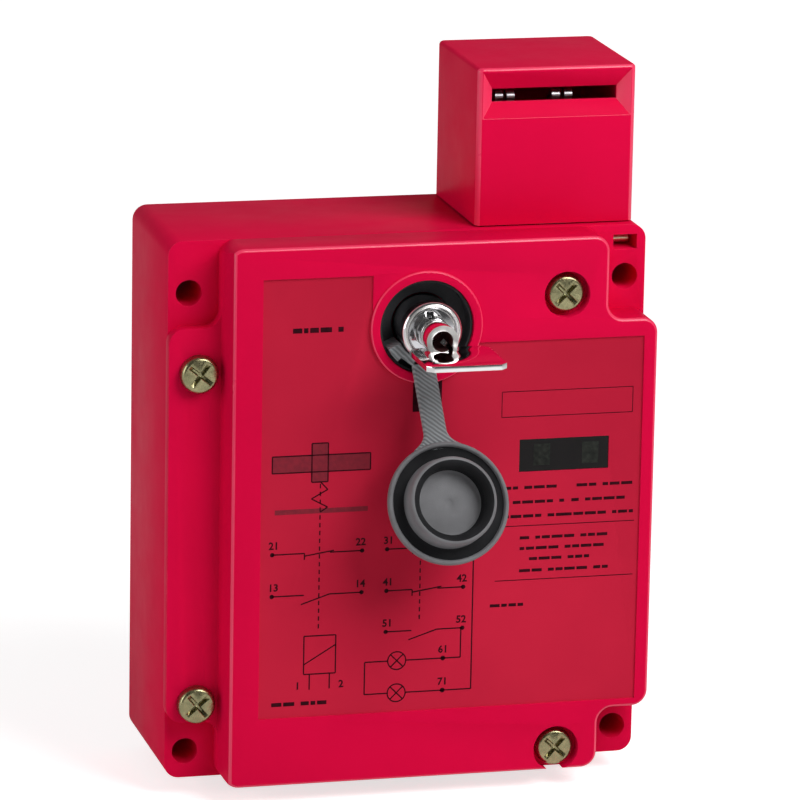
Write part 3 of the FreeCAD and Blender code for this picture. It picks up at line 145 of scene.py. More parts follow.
class NodeTree:
    """A small builder over the node tree of a material or a world."""

    def __init__(self, owner: bpy.types.Material | bpy.types.World) -> None:
        """Open a node tree.

        Args:
            owner: the material or world that has it.
        """
        owner.use_nodes = True
        self.nodes = owner.node_tree.nodes
        self.links = owner.node_tree.links

    def fill(self, node: bpy.types.Node, values: Values) -> None:
        """Fill a node's inputs.

        Args:
            node: the node.
            values: what goes into each named input: a value, or a socket that is joined to it.
        """
        for name, value in values.items():
            if isinstance(value, Socket):
                self.links.new(value, node.inputs[name])
            else:
                node.inputs[name].default_value = value

    def made(self, kind: str, result: str, values: Values) -> Socket:
        """Add a node.

        Args:
            kind: its type.
            result: the output that is wanted.
            values: its inputs, as in fill.

        Returns:
            The output's socket.
        """
        node = self.nodes.new(kind)
        self.fill(node, values)
        return node.outputs[result]

    def mix(self, kind: str, share: Socket, first: object, second: object) -> Socket:
        """Mix two values.

        Args:
            kind: FLOAT for numbers, RGBA for colours.
            share: how far the result is on the way from first to second, from 0 to 1.
            first: a value or a socket.
            second: a value or a socket.

        Returns:
            The result's socket.
        """
        node = self.nodes.new("ShaderNodeMix")
        node.data_type = kind
        self.fill(node, {"Factor": share, "A": first, "B": second})
        return node.outputs["Result"]

    def by_ray(self, others: float, mirrored: float | Socket, seen: float) -> Socket:
        """A strength of light that depends on the ray that meets it.

        Args:
            others: for rays that carry light to the object.
            mirrored: for rays from glossy and see-through surfaces.
            seen: for rays from the camera.

        Returns:
            The strength's socket.
        """
        path = self.nodes.new("ShaderNodeLightPath").outputs
        either = self.nodes.new("ShaderNodeMath")
        either.operation = "MAXIMUM"
        self.links.new(path["Is Glossy Ray"], either.inputs[0])
        self.links.new(path["Is Transmission Ray"], either.inputs[1])
        level = self.mix("FLOAT", either.outputs[0], others, mirrored)
        return self.mix("FLOAT", path["Is Camera Ray"], level, seen)


class ShaderTree(NodeTree):
    """The node tree of a new material, with a Principled shader at its end."""

    def __init__(self, name: str) -> None:
        """Start a material.

        Args:
            name: the material's name.
        """
        self.material = bpy.data.materials.new(name)
        super().__init__(self.material)
        self.shader = self.nodes["Principled BSDF"]
        self.coordinates = self.made("ShaderNodeTexCoord", "Object", {})

    def stretched(self, scale: Point) -> Socket:
        """Object coordinates stretched by a factor along each axis."""
        return self.made("ShaderNodeMapping", "Vector", {"Scale": scale, "Vector": self.coordinates})

    def noise(self, grain_mm: float, detail: float = 2.0, roughness: float = 0.5,
              where: Socket | None = None) -> Socket:
        """A noise pattern.

        Args:
            grain_mm: the size of its coarsest grains, in millimetres.
            detail: how many finer octaves are added.
            roughness: how strong those octaves are.
            where: other coordinates to read it at.

        Returns:
            The pattern's value socket.
        """
        return self.made("ShaderNodeTexNoise", "Fac", {
            "Scale": 1.0 / (grain_mm * MM), "Detail": detail, "Roughness": roughness,
            "Vector": where or self.coordinates})

    def ribs(self, pitch_mm: float, wander: float, wander_scale: float) -> Socket:
        """Slanting ribs.

        Args:
            pitch_mm: their pitch, in millimetres along an axis.
            wander: how far they stray from straight.
            wander_scale: how quickly they stray.

        Returns:
            The pattern's value socket.
        """
        node = self.nodes.new("ShaderNodeTexWave")
        node.bands_direction = "DIAGONAL"
        self.fill(node, {"Scale": DIAGONAL_WAVE / (pitch_mm * MM), "Distortion": wander,
                         "Detail Scale": wander_scale, "Vector": self.coordinates})
        return node.outputs["Fac"]

    def spread(self, value: Socket, low: float, high: float, within: Span = (0.3, 0.7)) -> Socket:
        """Map a value from the range within to low..high, clamped."""
        return self.made("ShaderNodeMapRange", "Result", {
            "Value": value, "From Min": within[0], "From Max": within[1], "To Min": low, "To Max": high})

    def two_tone(self, pattern: Socket, first: Colour, second: Colour, within: Span = (0.3, 0.7)) -> Socket:
        """A colour that goes from first to second as the pattern rises through the range within."""
        return self.mix("RGBA", self.spread(pattern, 0.0, 1.0, within), (*first, 1.0), (*second, 1.0))

    def bump(self, height: Socket, depth_mm: float, below: Socket | None = None) -> Socket:
        """Relief of a height pattern with a full depth in millimetres, on another relief if one is given."""
        values = {"Strength": 1.0, "Distance": depth_mm * MM, "Height": height}
        return self.made("ShaderNodeBump", "Normal", values | ({"Normal": below} if below else {}))


@dataclass(frozen=True)
class Finish:
    """One finish: what every material here shares."""

    name: str
    slot: Slot

    def build(self) -> bpy.types.Material:
        """Make the material.

        Returns:
            The new material.
        """
        tree = ShaderTree(self.name)
        tree.fill(tree.shader, self.look(tree))
        return tree.material

    def look(self, tree: ShaderTree) -> Values:
        """Settle what goes into the shader's inputs.

        Args:
            tree: the new material's tree.

        Returns:
            A value or a socket for each named input.
        """
        raise NotImplementedError


@dataclass(frozen=True)
class StovedPaint(Finish):
    """Powder paint baked on a casting: a saturated colour, a soft orange peel and a satin sheen."""

    light: Colour = (0.74, 0.0030, 0.054)
    deep: Colour = (0.68, 0.0028, 0.049)
    rough: Span = (0.36, 0.46)
    sheen_level: float = 0.02
    sheen_mm: float = 9.0
    peel_mm: float = 1.1
    peel_depth: float = 0.010
    fine_mm: float = 0.28
    fine_depth: float = 0.0035
    mottle_mm: float = 30.0

    def look(self, tree: ShaderTree) -> Values:
        """A mottled colour, a clouded sheen, and a fine grain on the orange peel."""
        peel = tree.bump(tree.noise(self.peel_mm, 1.0), self.peel_depth)
        return {"Base Color": tree.two_tone(tree.noise(self.mottle_mm, 3.0), self.light, self.deep),
                "Roughness": tree.spread(tree.noise(self.sheen_mm, 4.0, 0.6), *self.rough),
                "Normal": tree.bump(tree.noise(self.fine_mm, 2.0), self.fine_depth, peel),
                "Specular IOR Level": self.sheen_level}


@dataclass(frozen=True)
class MouldedRubber(Finish):
    """Matt rubber from an eroded mould: fine grain, a dusty bloom on the high spots."""

    dark: Colour = (0.135, 0.135, 0.142)
    bloom: Colour = (0.20, 0.20, 0.21)
    grain_mm: float = 0.22
    gloss: float = 0.35
    bloom_mm: float = 6.0
    rough: Span = (0.55, 0.8)
    grain_depth: float = 0.05

    def look(self, tree: ShaderTree) -> Values:
        """Clouds of bloom over the dark rubber, and the mould's grain in gloss and relief."""
        grain = tree.noise(self.grain_mm, 3.0, 0.65)
        return {"Base Color": tree.two_tone(tree.noise(self.bloom_mm, 3.0), self.dark, self.bloom,
                                            (0.25, 0.75)),
                "Roughness": tree.spread(grain, *self.rough),
                "Normal": tree.bump(grain, self.grain_depth),
                "Specular IOR Level": self.gloss}


@dataclass(frozen=True)
class RibbedRubber(Finish):
    """Soft rubber with fine slanting ribs, with painted shade in their grooves and painted light on their
    crests.
    """

    lit_crest: Colour = (0.30, 0.315, 0.325)
    shaded_groove: Colour = (0.16, 0.17, 0.18)
    pitch_mm: float = 1.15
    rib_depth: float = 0.12
    wander: Span = (2.2, 0.6)
    rough: Span = (0.5, 0.75)
    rough_mm: float = 0.3
    grain_mm: float = 0.22
    grain_depth: float = 0.03
    gloss: float = 0.3

    def look(self, tree: ShaderTree) -> Values:
        """The ribs in relief, and in colour as painted shade and light, with a fine grain on them."""
        ribs = tree.ribs(self.pitch_mm, *self.wander)
        return {"Base Color": tree.two_tone(ribs, self.shaded_groove, self.lit_crest, (0.15, 0.85)),
                "Roughness": tree.spread(tree.noise(self.rough_mm, 3.0), *self.rough),
                "Normal": tree.bump(tree.noise(self.grain_mm, 3.0), self.grain_depth,
                                    tree.bump(ribs, self.rib_depth)),
                "Specular IOR Level": self.gloss}


@dataclass(frozen=True)
class PlatedMetal(Finish):
    """A plated or bare metal: tint variation, faint tool marks and a roughness that follows them."""

    bright: Colour = (0.80, 0.80, 0.82)
    dull: Colour = (0.62, 0.62, 0.65)
    rough: Span = (0.08, 0.18)
    tint_mm: float = 3.0
    marks: Point = (1.0, 1.0, 1.0)
    marks_mm: float = 0.4
    depth_mm: float = 0.004

    def look(self, tree: ShaderTree) -> Values:
        """A tint that varies, and the tool marks in gloss and relief."""
        lines = tree.noise(self.marks_mm, 2.0, 0.6, tree.stretched(self.marks))
        return {"Base Color": tree.two_tone(tree.noise(self.tint_mm, 3.0), self.bright, self.dull),
                "Roughness": tree.spread(lines, *self.rough),
                "Normal": tree.bump(lines, self.depth_mm),
                "Metallic": 1.0}


@dataclass(frozen=True)
class MouldedPlastic(Finish):
    """A moulded plastic with an eroded texture."""

    base: Colour = (0.03, 0.03, 0.032)
    second: Colour = (0.045, 0.045, 0.047)
    rough: Span = (0.4, 0.55)
    grain_mm: float = 0.3
    depth_mm: float = 0.02
    cloud_mm: float = 5.0

    def look(self, tree: ShaderTree) -> Values:
        """A clouded colour, and the mould's grain in gloss and relief."""
        grain = tree.noise(self.grain_mm, 3.0, 0.6)
        return {"Base Color": tree.two_tone(tree.noise(self.cloud_mm, 3.0), self.base, self.second),
                "Roughness": tree.spread(grain, *self.rough),
                "Normal": tree.bump(grain, self.depth_mm)}


@dataclass(frozen=True)
class SmokedLens(Finish):
    """A dark, see-through gloss plastic, faintly rippled."""

    tint: Colour = (0.005, 0.0025, 0.003)
    deeper: float = 0.7
    haze_mm: float = 4.0
    rough: Span = (0.06, 0.14)
    ripple_mm: float = 2.5
    ripple_depth: float = 0.006
    clear: float = 0.25
    gloss: float = 0.08

    def look(self, tree: ShaderTree) -> Values:
        """A dark haze that light comes through in part, under a faintly rippled surface."""
        haze = tree.noise(self.haze_mm, 3.0)
        return {"Base Color": tree.two_tone(haze, self.tint, tuple(c * self.deeper for c in self.tint)),
                "Roughness": tree.spread(haze, *self.rough),
                "Normal": tree.bump(tree.noise(self.ripple_mm, 1.0), self.ripple_depth),
                "Transmission Weight": self.clear, "IOR": 1.49, "Specular IOR Level": self.gloss}


@dataclass(frozen=True)
class PrintedInk(Finish):
    """Thin screen-printed ink, a little worn and uneven in its cover."""

    full: Colour = (0.020, 0.002, 0.005)
    thin: Colour = (0.045, 0.003, 0.009)
    cover_mm: float = 0.8
    rough_mm: float = 0.5
    rough: Span = (0.4, 0.55)
    grain_mm: float = 0.3
    grain_depth: float = 0.004
    gloss: float = 0.06

    def look(self, tree: ShaderTree) -> Values:
        """An uneven cover with a fine grain."""
        return {"Base Color": tree.two_tone(tree.noise(self.cover_mm, 4.0), self.full, self.thin),
                "Roughness": tree.spread(tree.noise(self.rough_mm, 2.0), *self.rough),
                "Normal": tree.bump(tree.noise(self.grain_mm, 2.0), self.grain_depth),
                "Specular IOR Level": self.gloss}


FINISHES: dict[str, Finish] = {finish.name: finish for finish in (
    StovedPaint("red_stoved_paint", Slot.RED_PAINT),
    # painted highlight: a paler, pinker, glossier red for rounded edges and narrow faces that lean to the
    # front
    StovedPaint("painted_highlight_edge_paint", Slot.RED_PAINT, (0.90, 0.050, 0.130), (0.82, 0.022, 0.095),
                (0.26, 0.36), 0.5),
    StovedPaint("satin_panel_paint", Slot.RED_PAINT, (0.58, 0.017, 0.049), (0.51, 0.014, 0.043),
                (0.46, 0.56), 0.02),
    MouldedRubber("grey_cap_rubber", Slot.GREY_RUBBER),
    # painted shade: near-black rubber for the cap's inner wall and channel, where shade falls in the hollow
    MouldedRubber("painted_shade_cap_rubber", Slot.GREY_RUBBER, (0.010, 0.010, 0.011), (0.022, 0.022, 0.024),
                  gloss=0.08),
    # painted shade and light: darker grooves and paler crests on the strap's ribs
    RibbedRubber("ribbed_strap_rubber", Slot.GREY_RUBBER),
    # painted highlight: a paler, rougher nickel on the lock's rounded edges and the key tube's end ring
    PlatedMetal("painted_highlight_nickel", Slot.CHROME_PLATE, (0.92, 0.90, 0.88), (0.84, 0.82, 0.80),
                (0.3, 0.42), 2.0),
    # painted reflection: the key tube's bore tinted dark red in place of the red cover mirrored in it
    PlatedMetal("painted_reflection_bore", Slot.CHROME_PLATE, (0.30, 0.13, 0.13), (0.20, 0.09, 0.09),
                (0.5, 0.65), 2.0),
    MouldedRubber("black_seal_rubber", Slot.BLACK_RUBBER, (0.014, 0.014, 0.016), (0.03, 0.03, 0.033), 0.3),
    PlatedMetal("bright_chrome", Slot.CHROME_PLATE),
    PlatedMetal("mirror_nickel", Slot.CHROME_PLATE, (0.86, 0.85, 0.85), (0.78, 0.77, 0.77), (0.03, 0.08),
                5.0, (0.08, 1.0, 1.0), 0.5, 0.002),
    PlatedMetal("yellow_passivated_zinc", Slot.YELLOW_ZINC, (0.40, 0.365, 0.20), (0.27, 0.265, 0.145),
                (0.22, 0.38), 1.4, (1.0, 1.0, 1.0), 0.35, 0.012),
    PlatedMetal("ground_steel", Slot.STEEL, (0.56, 0.56, 0.58), (0.44, 0.44, 0.46), (0.25, 0.4), 4.0,
                (0.1, 1.0, 1.0), 0.3, 0.006),
    PlatedMetal("die_cast_zinc", Slot.CAST_ZINC, (0.50, 0.51, 0.53), (0.38, 0.39, 0.41), (0.4, 0.6), 3.0,
                (1.0, 1.0, 1.0), 0.5, 0.03),
    PlatedMetal("drawn_brass", Slot.BRASS, (0.80, 0.58, 0.26), (0.62, 0.44, 0.19), (0.2, 0.35), 4.0,
                (1.0, 0.15, 1.0), 0.3, 0.005),
    MouldedPlastic("black_thermoplastic", Slot.BLACK_PLASTIC),
    MouldedPlastic("natural_acetal", Slot.WHITE_PLASTIC, (0.72, 0.71, 0.66), (0.66, 0.65, 0.60), (0.3, 0.45)),
    MouldedPlastic("green_board_lacquer", Slot.CIRCUIT_BOARD, (0.015, 0.11, 0.045), (0.02, 0.15, 0.06),
                   (0.2, 0.35), 0.8, 0.01),
    MouldedPlastic("taped_copper_winding", Slot.COPPER, (0.42, 0.14, 0.05), (0.30, 0.09, 0.03), (0.3, 0.5),
                   0.4, 0.05),
    MouldedPlastic("clear_lamp_resin", Slot.LAMP_PLASTIC, (0.62, 0.66, 0.58), (0.70, 0.72, 0.66),
                   (0.1, 0.2), 0.8, 0.004),
    SmokedLens("smoked_window", Slot.SMOKED_PLASTIC),
    PlatedMetal("pale_passivated_pin", Slot.STEEL, (0.86, 0.78, 0.56), (0.72, 0.64, 0.44), (0.25, 0.4), 1.0),
    PrintedInk("dark_ink", Slot.RED_PAINT),
    # painted light: patches a little lighter than the smoked pane, where the lamps behind it would show
    # through
    PrintedInk("lamp_shade_ink", Slot.SMOKED_PLASTIC, (0.012, 0.013, 0.012), (0.030, 0.033, 0.028)),
    PrintedInk("grey_ink", Slot.RED_PAINT, (0.20, 0.020, 0.034), (0.27, 0.022, 0.038)),
)}


class Paintshop:
    """Makes each finish's material once and hands it out."""

    made: dict[str, bpy.types.Material] = {}

    @classmethod
    def material(cls, name: str) -> bpy.types.Material:
        """Look up a finish's material, and make it if it is new.

        Args:
            name: the finish's name in FINISHES.

        Returns:
            The material.
        """
        if name not in cls.made:
            cls.made[name] = FINISHES[name].build()
        return cls.made[name]


# ------------------------------------------------------------------------------------------ mesh tools


@dataclass(frozen=True)
class Drawing:
    """The drawing's frame: X across, Y backwards from the mounting plane, Z up from the body's lower face."""

    datum_height: float = 52.5

    def point(self, x: float, y: float, z: float) -> Vector:
        """A drawing point in millimetres as a point of the part's frame in metres."""
        return Vector((x, y, z - self.datum_height)) * MM

    def place(self, x: float = 0.0, y: float = 0.0, z: float = 0.0, turn: Matrix | None = None) -> Matrix:
        """The transform from a piece's own millimetres to the part's frame, turned and then moved."""
        return Matrix.Translation(self.point(x, y, z)) @ (turn or Matrix()).to_4x4() @ Matrix.Scale(MM, 4)


DRAWING = Drawing()


def data_of(mesh: Mesh, name: str) -> bpy.types.Mesh:
    """Keep a bmesh as mesh data.

    Args:
        mesh: the bmesh, which is freed.
        name: the data's name.

    Returns:
        The mesh data.
    """
    data = bpy.data.meshes.new(name)
    mesh.to_mesh(data)
    mesh.free()
    return data


def shown(name: str, data: bpy.types.ID) -> bpy.types.Object:
    """Put some data into the scene.

    Args:
        name: the new object's name.
        data: a mesh, a lamp or a camera.

    Returns:
        The object.
    """
    item = bpy.data.objects.new(name, data)
    bpy.context.scene.collection.objects.link(item)
    return item


def finished_piece(name: str, mesh: Mesh, finish: str, body: Body | None, replaced: Sequence[str] = (),
                   sharp_deg: float = 32.0, more: Sequence[str] = ()) -> bpy.types.Object:
    """Turn a bmesh in metres into a piece of the object.

    Args:
        name: the piece's name.
        mesh: its mesh, which is freed here.
        finish: the name of its finish.
        body: the body that it rides on, or none for a piece that is tied to no body.
        replaced: the CAD nodes that it stands for.
        sharp_deg: edges that turn by more than this angle are shaded sharp.
        more: the finishes of the faces whose material index is 1, 2 and so on.

    Returns:
        The new object.
    """
    limit = math.radians(sharp_deg)
    for face in mesh.faces:
        face.smooth = True
    for edge in mesh.edges:
        edge.smooth = len(edge.link_faces) == 2 and edge.calc_face_angle(0.0) < limit
    data = data_of(mesh, name)
    for used in (finish, *more):
        data.materials.append(Paintshop.material(used))
    piece = shown(name, data)
    if body:
        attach(piece, body.value)
    if replaced:
        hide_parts(*replaced)
    LOG.info("piece %s: %d faces on %s", name, len(data.polygons), body.value if body else "two bodies")
    return piece


def node_body(node: str) -> Body:
    """The body that a CAD node rides on."""
    return Body(frame["nodes"][node]["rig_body"])


def dress(finish: str, *nodes: str) -> None:
    """Give CAD nodes a finish.

    Args:
        finish: the finish's name.
        nodes: the nodes' names.
    """
    for node in nodes:
        item = frame["nodes"][node]
        item.data.materials.clear()
        item.data.materials.append(Paintshop.material(finish))
        LOG.info("dressed %s with %s", node, finish)


def cad_copy(node: str) -> Mesh:
    """Copy a CAD node's mesh, with its loose triangles merged and its flat faces joined into polygons.

    Args:
        node: the node's name.

    Returns:
        The copy, in metres.
    """
    mesh = bmesh.new()
    mesh.from_mesh(frame["nodes"][node].data)
    bmesh.ops.remove_doubles(mesh, verts=mesh.verts[:], dist=MERGE_MM * MM)
    bmesh.ops.dissolve_limit(mesh, angle_limit=math.radians(FLAT_DEG), verts=mesh.verts[:],
                             edges=mesh.edges[:], use_dissolve_boundaries=False)
    return mesh


def soften(mesh: Mesh, width_mm: float, segments: int = 2, over_deg: float = 35.0,
           material: int = -1) -> None:
    """Round a mesh's edges that turn by more than an angle.

    Args:
        mesh: a mesh in metres.
        width_mm: the rounding's width.
        segments: how many faces make it.
        over_deg: the angle.
        material: the material index of the rounded faces, or -1 for their neighbours' own.
    """
    limit = math.radians(over_deg)
    edges = [edge for edge in mesh.edges if len(edge.link_faces) == 2 and edge.calc_face_angle(0.0) > limit]
    bmesh.ops.bevel(mesh, geom=edges, offset=width_mm * MM, offset_type="OFFSET", segments=segments,
                    profile=0.5, affect="EDGES", clamp_overlap=True, material=material)


def outgrowth(grown: dict[str, list]) -> tuple[list[bmesh.types.BMVert], list[bmesh.types.BMEdge]]:
    """What an extrusion has added.

    Args:
        grown: what the extrusion gave back.

    Returns:
        Its new vertices, and the edges between two of them.
    """
    verts = [item for item in grown["geom"] if isinstance(item, bmesh.types.BMVert)]
    edges = [item for item in grown["geom"] if isinstance(item, bmesh.types.BMEdge)
             and all(vert in verts for vert in item.verts)]
    return verts, edges


def turned(profile: Iterable[Span], steps: int) -> Mesh:
    """Spin a half section about the Y axis.

    Args:
        profile: points (distance along Y, radius), in millimetres, from end to end of the section.
        steps: the faces round the axis.

    Returns:
        A closed mesh in millimetres.
    """
    mesh = bmesh.new()
    verts = [mesh.verts.new((radius, along, 0.0)) for along, radius in profile]
    edges = [mesh.edges.new(pair) for pair in zip(verts, verts[1:])]
    bmesh.ops.spin(mesh, geom=verts + edges, cent=(0, 0, 0), axis=(0, 1, 0), dvec=(0, 0, 0),
                   angle=2 * math.pi, steps=steps, use_merge=True, use_duplicate=False)
    bmesh.ops.remove_doubles(mesh, verts=mesh.verts[:], dist=0.001)
    bmesh.ops.recalc_face_normals(mesh, faces=mesh.faces[:])
    return mesh


def thickened(mesh: Mesh, by: Point) -> Mesh:
    """Draw a flat mesh's faces out into a solid.

    Args:
        mesh: the mesh, which is changed.
        by: how far, along each axis.

    Returns:
        The same mesh.
    """
    verts, _ = outgrowth(bmesh.ops.extrude_face_region(mesh, geom=mesh.faces[:]))
    bmesh.ops.translate(mesh, verts=verts, vec=by)
    bmesh.ops.recalc_face_normals(mesh, faces=mesh.faces[:])
    return mesh


def plate(outline: Sequence[Span], thickness: float) -> Mesh:
    """Make a flat plate in the XZ plane.

    Args:
        outline: its corners, in order.
        thickness: how far it reaches from Y = 0 towards -Y.

    Returns:
        Its mesh in millimetres.
    """
    mesh = bmesh.new()
    mesh.faces.new([mesh.verts.new((x, 0.0, z)) for x, z in outline])
    return thickened(mesh, (0.0, -thickness, 0.0))


def arc(centre: Span, radius: float, start_deg: float, end_deg: float, steps: int) -> list[Span]:
    """Points along an arc, both ends included."""
    angles = [math.radians(start_deg + (end_deg - start_deg) * i / steps) for i in range(steps + 1)]
    return [(centre[0] + radius * math.cos(a), centre[1] + radius * math.sin(a)) for a in angles]


def merged(parts: Iterable[Mesh]) -> Mesh:
    """Join meshes into one.

    Args:
        parts: the meshes, which are freed.

    Returns:
        The mesh that holds them all.
    """
    whole = bmesh.new()
    for part in parts:
        scratch = data_of(part, "scratch")
        whole.from_mesh(scratch)
        bpy.data.meshes.remove(scratch)
    return whole


def settled(mesh: Mesh, place: Matrix) -> Mesh:
    """Move a mesh by a transform and return it."""
    bmesh.ops.transform(mesh, matrix=place, verts=mesh.verts[:])
    return mesh


# ------------------------------------------------------------------------------------------ the object


@dataclass
class Casing:
    """The painted castings: body, cover and turret head, with a painted highlight on their edges and the
    cover's satin panel.
    """

    edges: dict[str, float] = field(default_factory=lambda: {
        "housing": 0.45, "front_cover": 0.30, "turret_head": 0.30})
    highlight_area: float = 25.0
    highlight_lean: Span = (0.25, 0.95)
    panel_level: float = -43.6
    panel_margin: float = 0.05

    def build(self) -> None:
        """Make the three castings."""
        for node, width in self.edges.items():
            mesh = cad_copy(node)
            # the rounded edges take material 1, the painted highlight
            soften(mesh, width, material=1)
            self.mark_painted_highlight(mesh)
            if node == "front_cover":
                self.mark_panel(mesh)
            finished_piece(f"{node}_casting", mesh, "red_stoved_paint", node_body(node), (node,),
                           more=("painted_highlight_edge_paint", "satin_panel_paint"))

    def mark_painted_highlight(self, mesh: Mesh) -> None:
        """Give the narrow faces that lean to the front a painted highlight: the paler, glossier red edge
        paint.

        Args:
            mesh: a casting.
        """
        least, most = self.highlight_lean
        for face in mesh.faces:
            if least < -face.normal.y < most and face.calc_area() < self.highlight_area * MM * MM:
                face.material_index = 1

    def mark_panel(self, mesh: Mesh) -> None:
        """Give the sunk panel's floor the third finish.

        Args:
            mesh: the cover.
        """
        for face in mesh.faces:
            off = abs(face.calc_center_median().y - self.panel_level * MM)
            if face.normal.y < -0.99 and off < self.panel_margin * MM:
                face.material_index = 2


class PrintKind(Enum):
    """The inks of the print, and the painted look of the lamps through the window."""

    DARK = "dark_ink"
    GREY = "grey_ink"
    LAMP = "lamp_shade_ink"


@dataclass
class PanelPrint:
    """The circuit diagram and the small print on the cover's panel: ink a fiftieth of a millimetre thick.

    Places are (X, height above the body's lower face), boxes are (left, bottom, right, top), both in
    millimetres. Each entry of the words is (left, right, height, seed of its bars, height of its bars).
    """

    level: float = -43.6
    pane: float = -43.4
    ink: float = 0.02
    raised: float = 0.004
    line: float = 0.26
    tongue: Box = (-29.4, 64.5, -9.5, 67.9)
    tongue_stem: Box = (-21.4, 62.4, -18.1, 70.3)
    zigzag_drops: tuple[float, ...] = (0.0, 1.6, 3.4, 5.2, 6.2)
    ratchet: Box = (-28.8, 56.0, -9.9, 57.0)
    axis: float = -19.6
    second_axis: float = 1.07
    dash_tops: Span = (62.0, 45.2)
    dash_foot: float = 31.2
    dash: Span = (0.9, 0.7)
    rows: Point = (47.9, 39.3, 30.8)
    left_column: Span = (-29.2, -10.9)
    right_column: Span = (-5.8, 10.0)
    blade: float = 2.6
    closed_blade: Point = (0.55, 0.8, 0.35)
    hook: float = 1.3
    open_blade: Span = (0.6, 1.9)
    contact_number: Span = (0.3, 1.75)
    coil: Box = (-22.5, 22.9, -16.0, 30.8)
    coil_slant: float = 2.0
    coil_lead: Span = (1.2, 3.2)
    coil_number: float = 2.4
    lamps: Span = (24.7, 18.0)
    lamp_across: float = -3.4
    lamp_radius: float = 1.85
    lamp_leads: Span = (9.7, 12.0)
    lamp_return: float = -10.0
    lamp_dot: float = 6.1
    lamp_dot_radius: float = 0.5
    lamp_number: float = 1.8
    supply: float = 47.6
    heading_words: tuple[tuple[float, float, float, int, float], ...] = (
        (17.5, 29.5, 59.2, 3, 0.62), (33.0, 44.9, 59.2, 11, 0.62), (17.5, 30.5, 56.2, 4, 0.62),
        (32.0, 44.9, 56.2, 12, 0.62), (17.5, 31.5, 53.3, 5, 0.62), (31.0, 44.9, 53.3, 13, 0.62))
    rules: tuple[Box, ...] = ((16.5, 51.3, 45.2, 51.3), (16.5, 40.1, 45.2, 40.1))
    rule_line: float = 0.16
    other_words: tuple[tuple[float, float, float, int, float], ...] = (
        (21.5, 40.0, 48.8, 20, 0.62), (21.5, 40.0, 46.6, 21, 0.62), (23.5, 36.0, 44.4, 22, 0.62),
        (21.5, 40.0, 42.0, 23, 0.62), (-29.0, -17.7, 16.9, 31, 0.8), (-25.6, -15.4, 93.2, 37, 1.0),
        (15.6, 22.5, 35.0, 41, 0.62))
    bar: Span = (0.8, 1.5)
    gaps: Span = (0.35, 1.3)
    spare: float = 0.6
    tab: Box = (-1.1, 75.8, 4.8, 82.3)
    name_box: Box = (17.2, 73.8, 44.2, 79.0)
    name_line: float = 0.14
    window_lamps: Span = (25.7, 35.7)
    window_lamp: Box = (-1.7, 63.6, 1.7, 68.0)
    parts: dict[PrintKind, list[Mesh]] = field(default_factory=lambda: {kind: [] for kind in PrintKind})

    def stroke(self, x0: float, z0: float, x1: float, z1: float, width: float | None = None,
               kind: PrintKind = PrintKind.DARK) -> None:
        """Print a straight line.

        Args:
            x0: where it starts, across.
            z0: the same, upwards.
            x1: where it ends, across.
            z1: the same, upwards.
            width: its width, or none for the print's own line.
            kind: its ink.
        """
        half = (width or self.line) / 2
        along = Vector((x1 - x0, z1 - z0)).normalized()
        side = Vector((-along.y, along.x)) * half
        ends = [Vector((x0, z0)), Vector((x1, z1))]
        outline = [ends[0] + side, ends[0] - side, ends[1] - side, ends[1] + side]
        self.parts[kind].append(plate([tuple(point) for point in outline], self.ink))

    def area(self, box: Box, kind: PrintKind) -> None:
        """Print a filled box."""
        left, bottom, right, top = box
        self.stroke(left, (bottom + top) / 2, right, (bottom + top) / 2, top - bottom, kind)

    def frame_lines(self, box: Box, width: float | None = None) -> None:
        """Print a box's outline.

        Args:
            box: the box.
            width: its line's width, or none for the print's own line.
        """
        left, bottom, right, top = box
        for ends in ((left, bottom, right, bottom), (left, top, right, top), (left, bottom, left, top),
                     (right, bottom, right, top)):
            self.stroke(*ends, width)

    def dashes(self, x: float, top: float, bottom: float) -> None:
        """Print a dashed upright line.

        Args:
            x: its place, across.
            top: where it starts.
            bottom: where it ends.
        """
        length, gap = self.dash
        for i in range(int((top - bottom) / (length + gap))):
            start = top - i * (length + gap)
            self.stroke(x, start, x, start - length)

    def dot(self, x: float, z: float, radius: float = 0.45) -> None:
        """Print a filled dot."""
        self.parts[PrintKind.DARK].append(plate(arc((x, z), radius, 0.0, 337.5, 15), self.ink))

    def ring(self, x: float, z: float, radius: float) -> None:
        """Print a circle's line.

        Args:
            x: its middle, across.
            z: its middle, upwards.
            radius: its radius.
        """
        half = self.line / 2
        section = [(0.0, radius - half), (0.0, radius + half), (-self.ink, radius + half),
                   (-self.ink, radius - half), (0.0, radius - half)]
        self.parts[PrintKind.DARK].append(settled(turned(section, 32), Matrix.Translation((x, 0.0, z))))

    def number(self, text: str, x: float, z: float, size: float = 2.1, bolder: float = 0.05) -> None:
        """Print a small plain number.

        Args:
            text: the number.
            x: its middle, across.
            z: its middle, upwards.
            size: the height of its type.
            bolder: how far its outline is moved outwards.
        """
        curve = bpy.data.curves.new("number", "FONT")
        curve.body = text
        curve.size = size
        curve.offset = bolder
        curve.align_x = "CENTER"
        curve.align_y = "CENTER"
        curve.resolution_u = 2
        holder = bpy.data.objects.new("number", curve)
        flat = bpy.data.meshes.new_from_object(holder)
        mesh = bmesh.new()
        mesh.from_mesh(flat)
        bpy.data.objects.remove(holder)
        bpy.data.curves.remove(curve)
        bpy.data.meshes.remove(flat)
        bmesh.ops.remove_doubles(mesh, verts=mesh.verts[:], dist=0.001)
        place = Matrix.Translation((x, 0.0, z)) @ Matrix.Rotation(math.pi / 2, 4, "X")
        self.parts[PrintKind.DARK].append(settled(thickened(mesh, (0.0, 0.0, self.ink)), place))

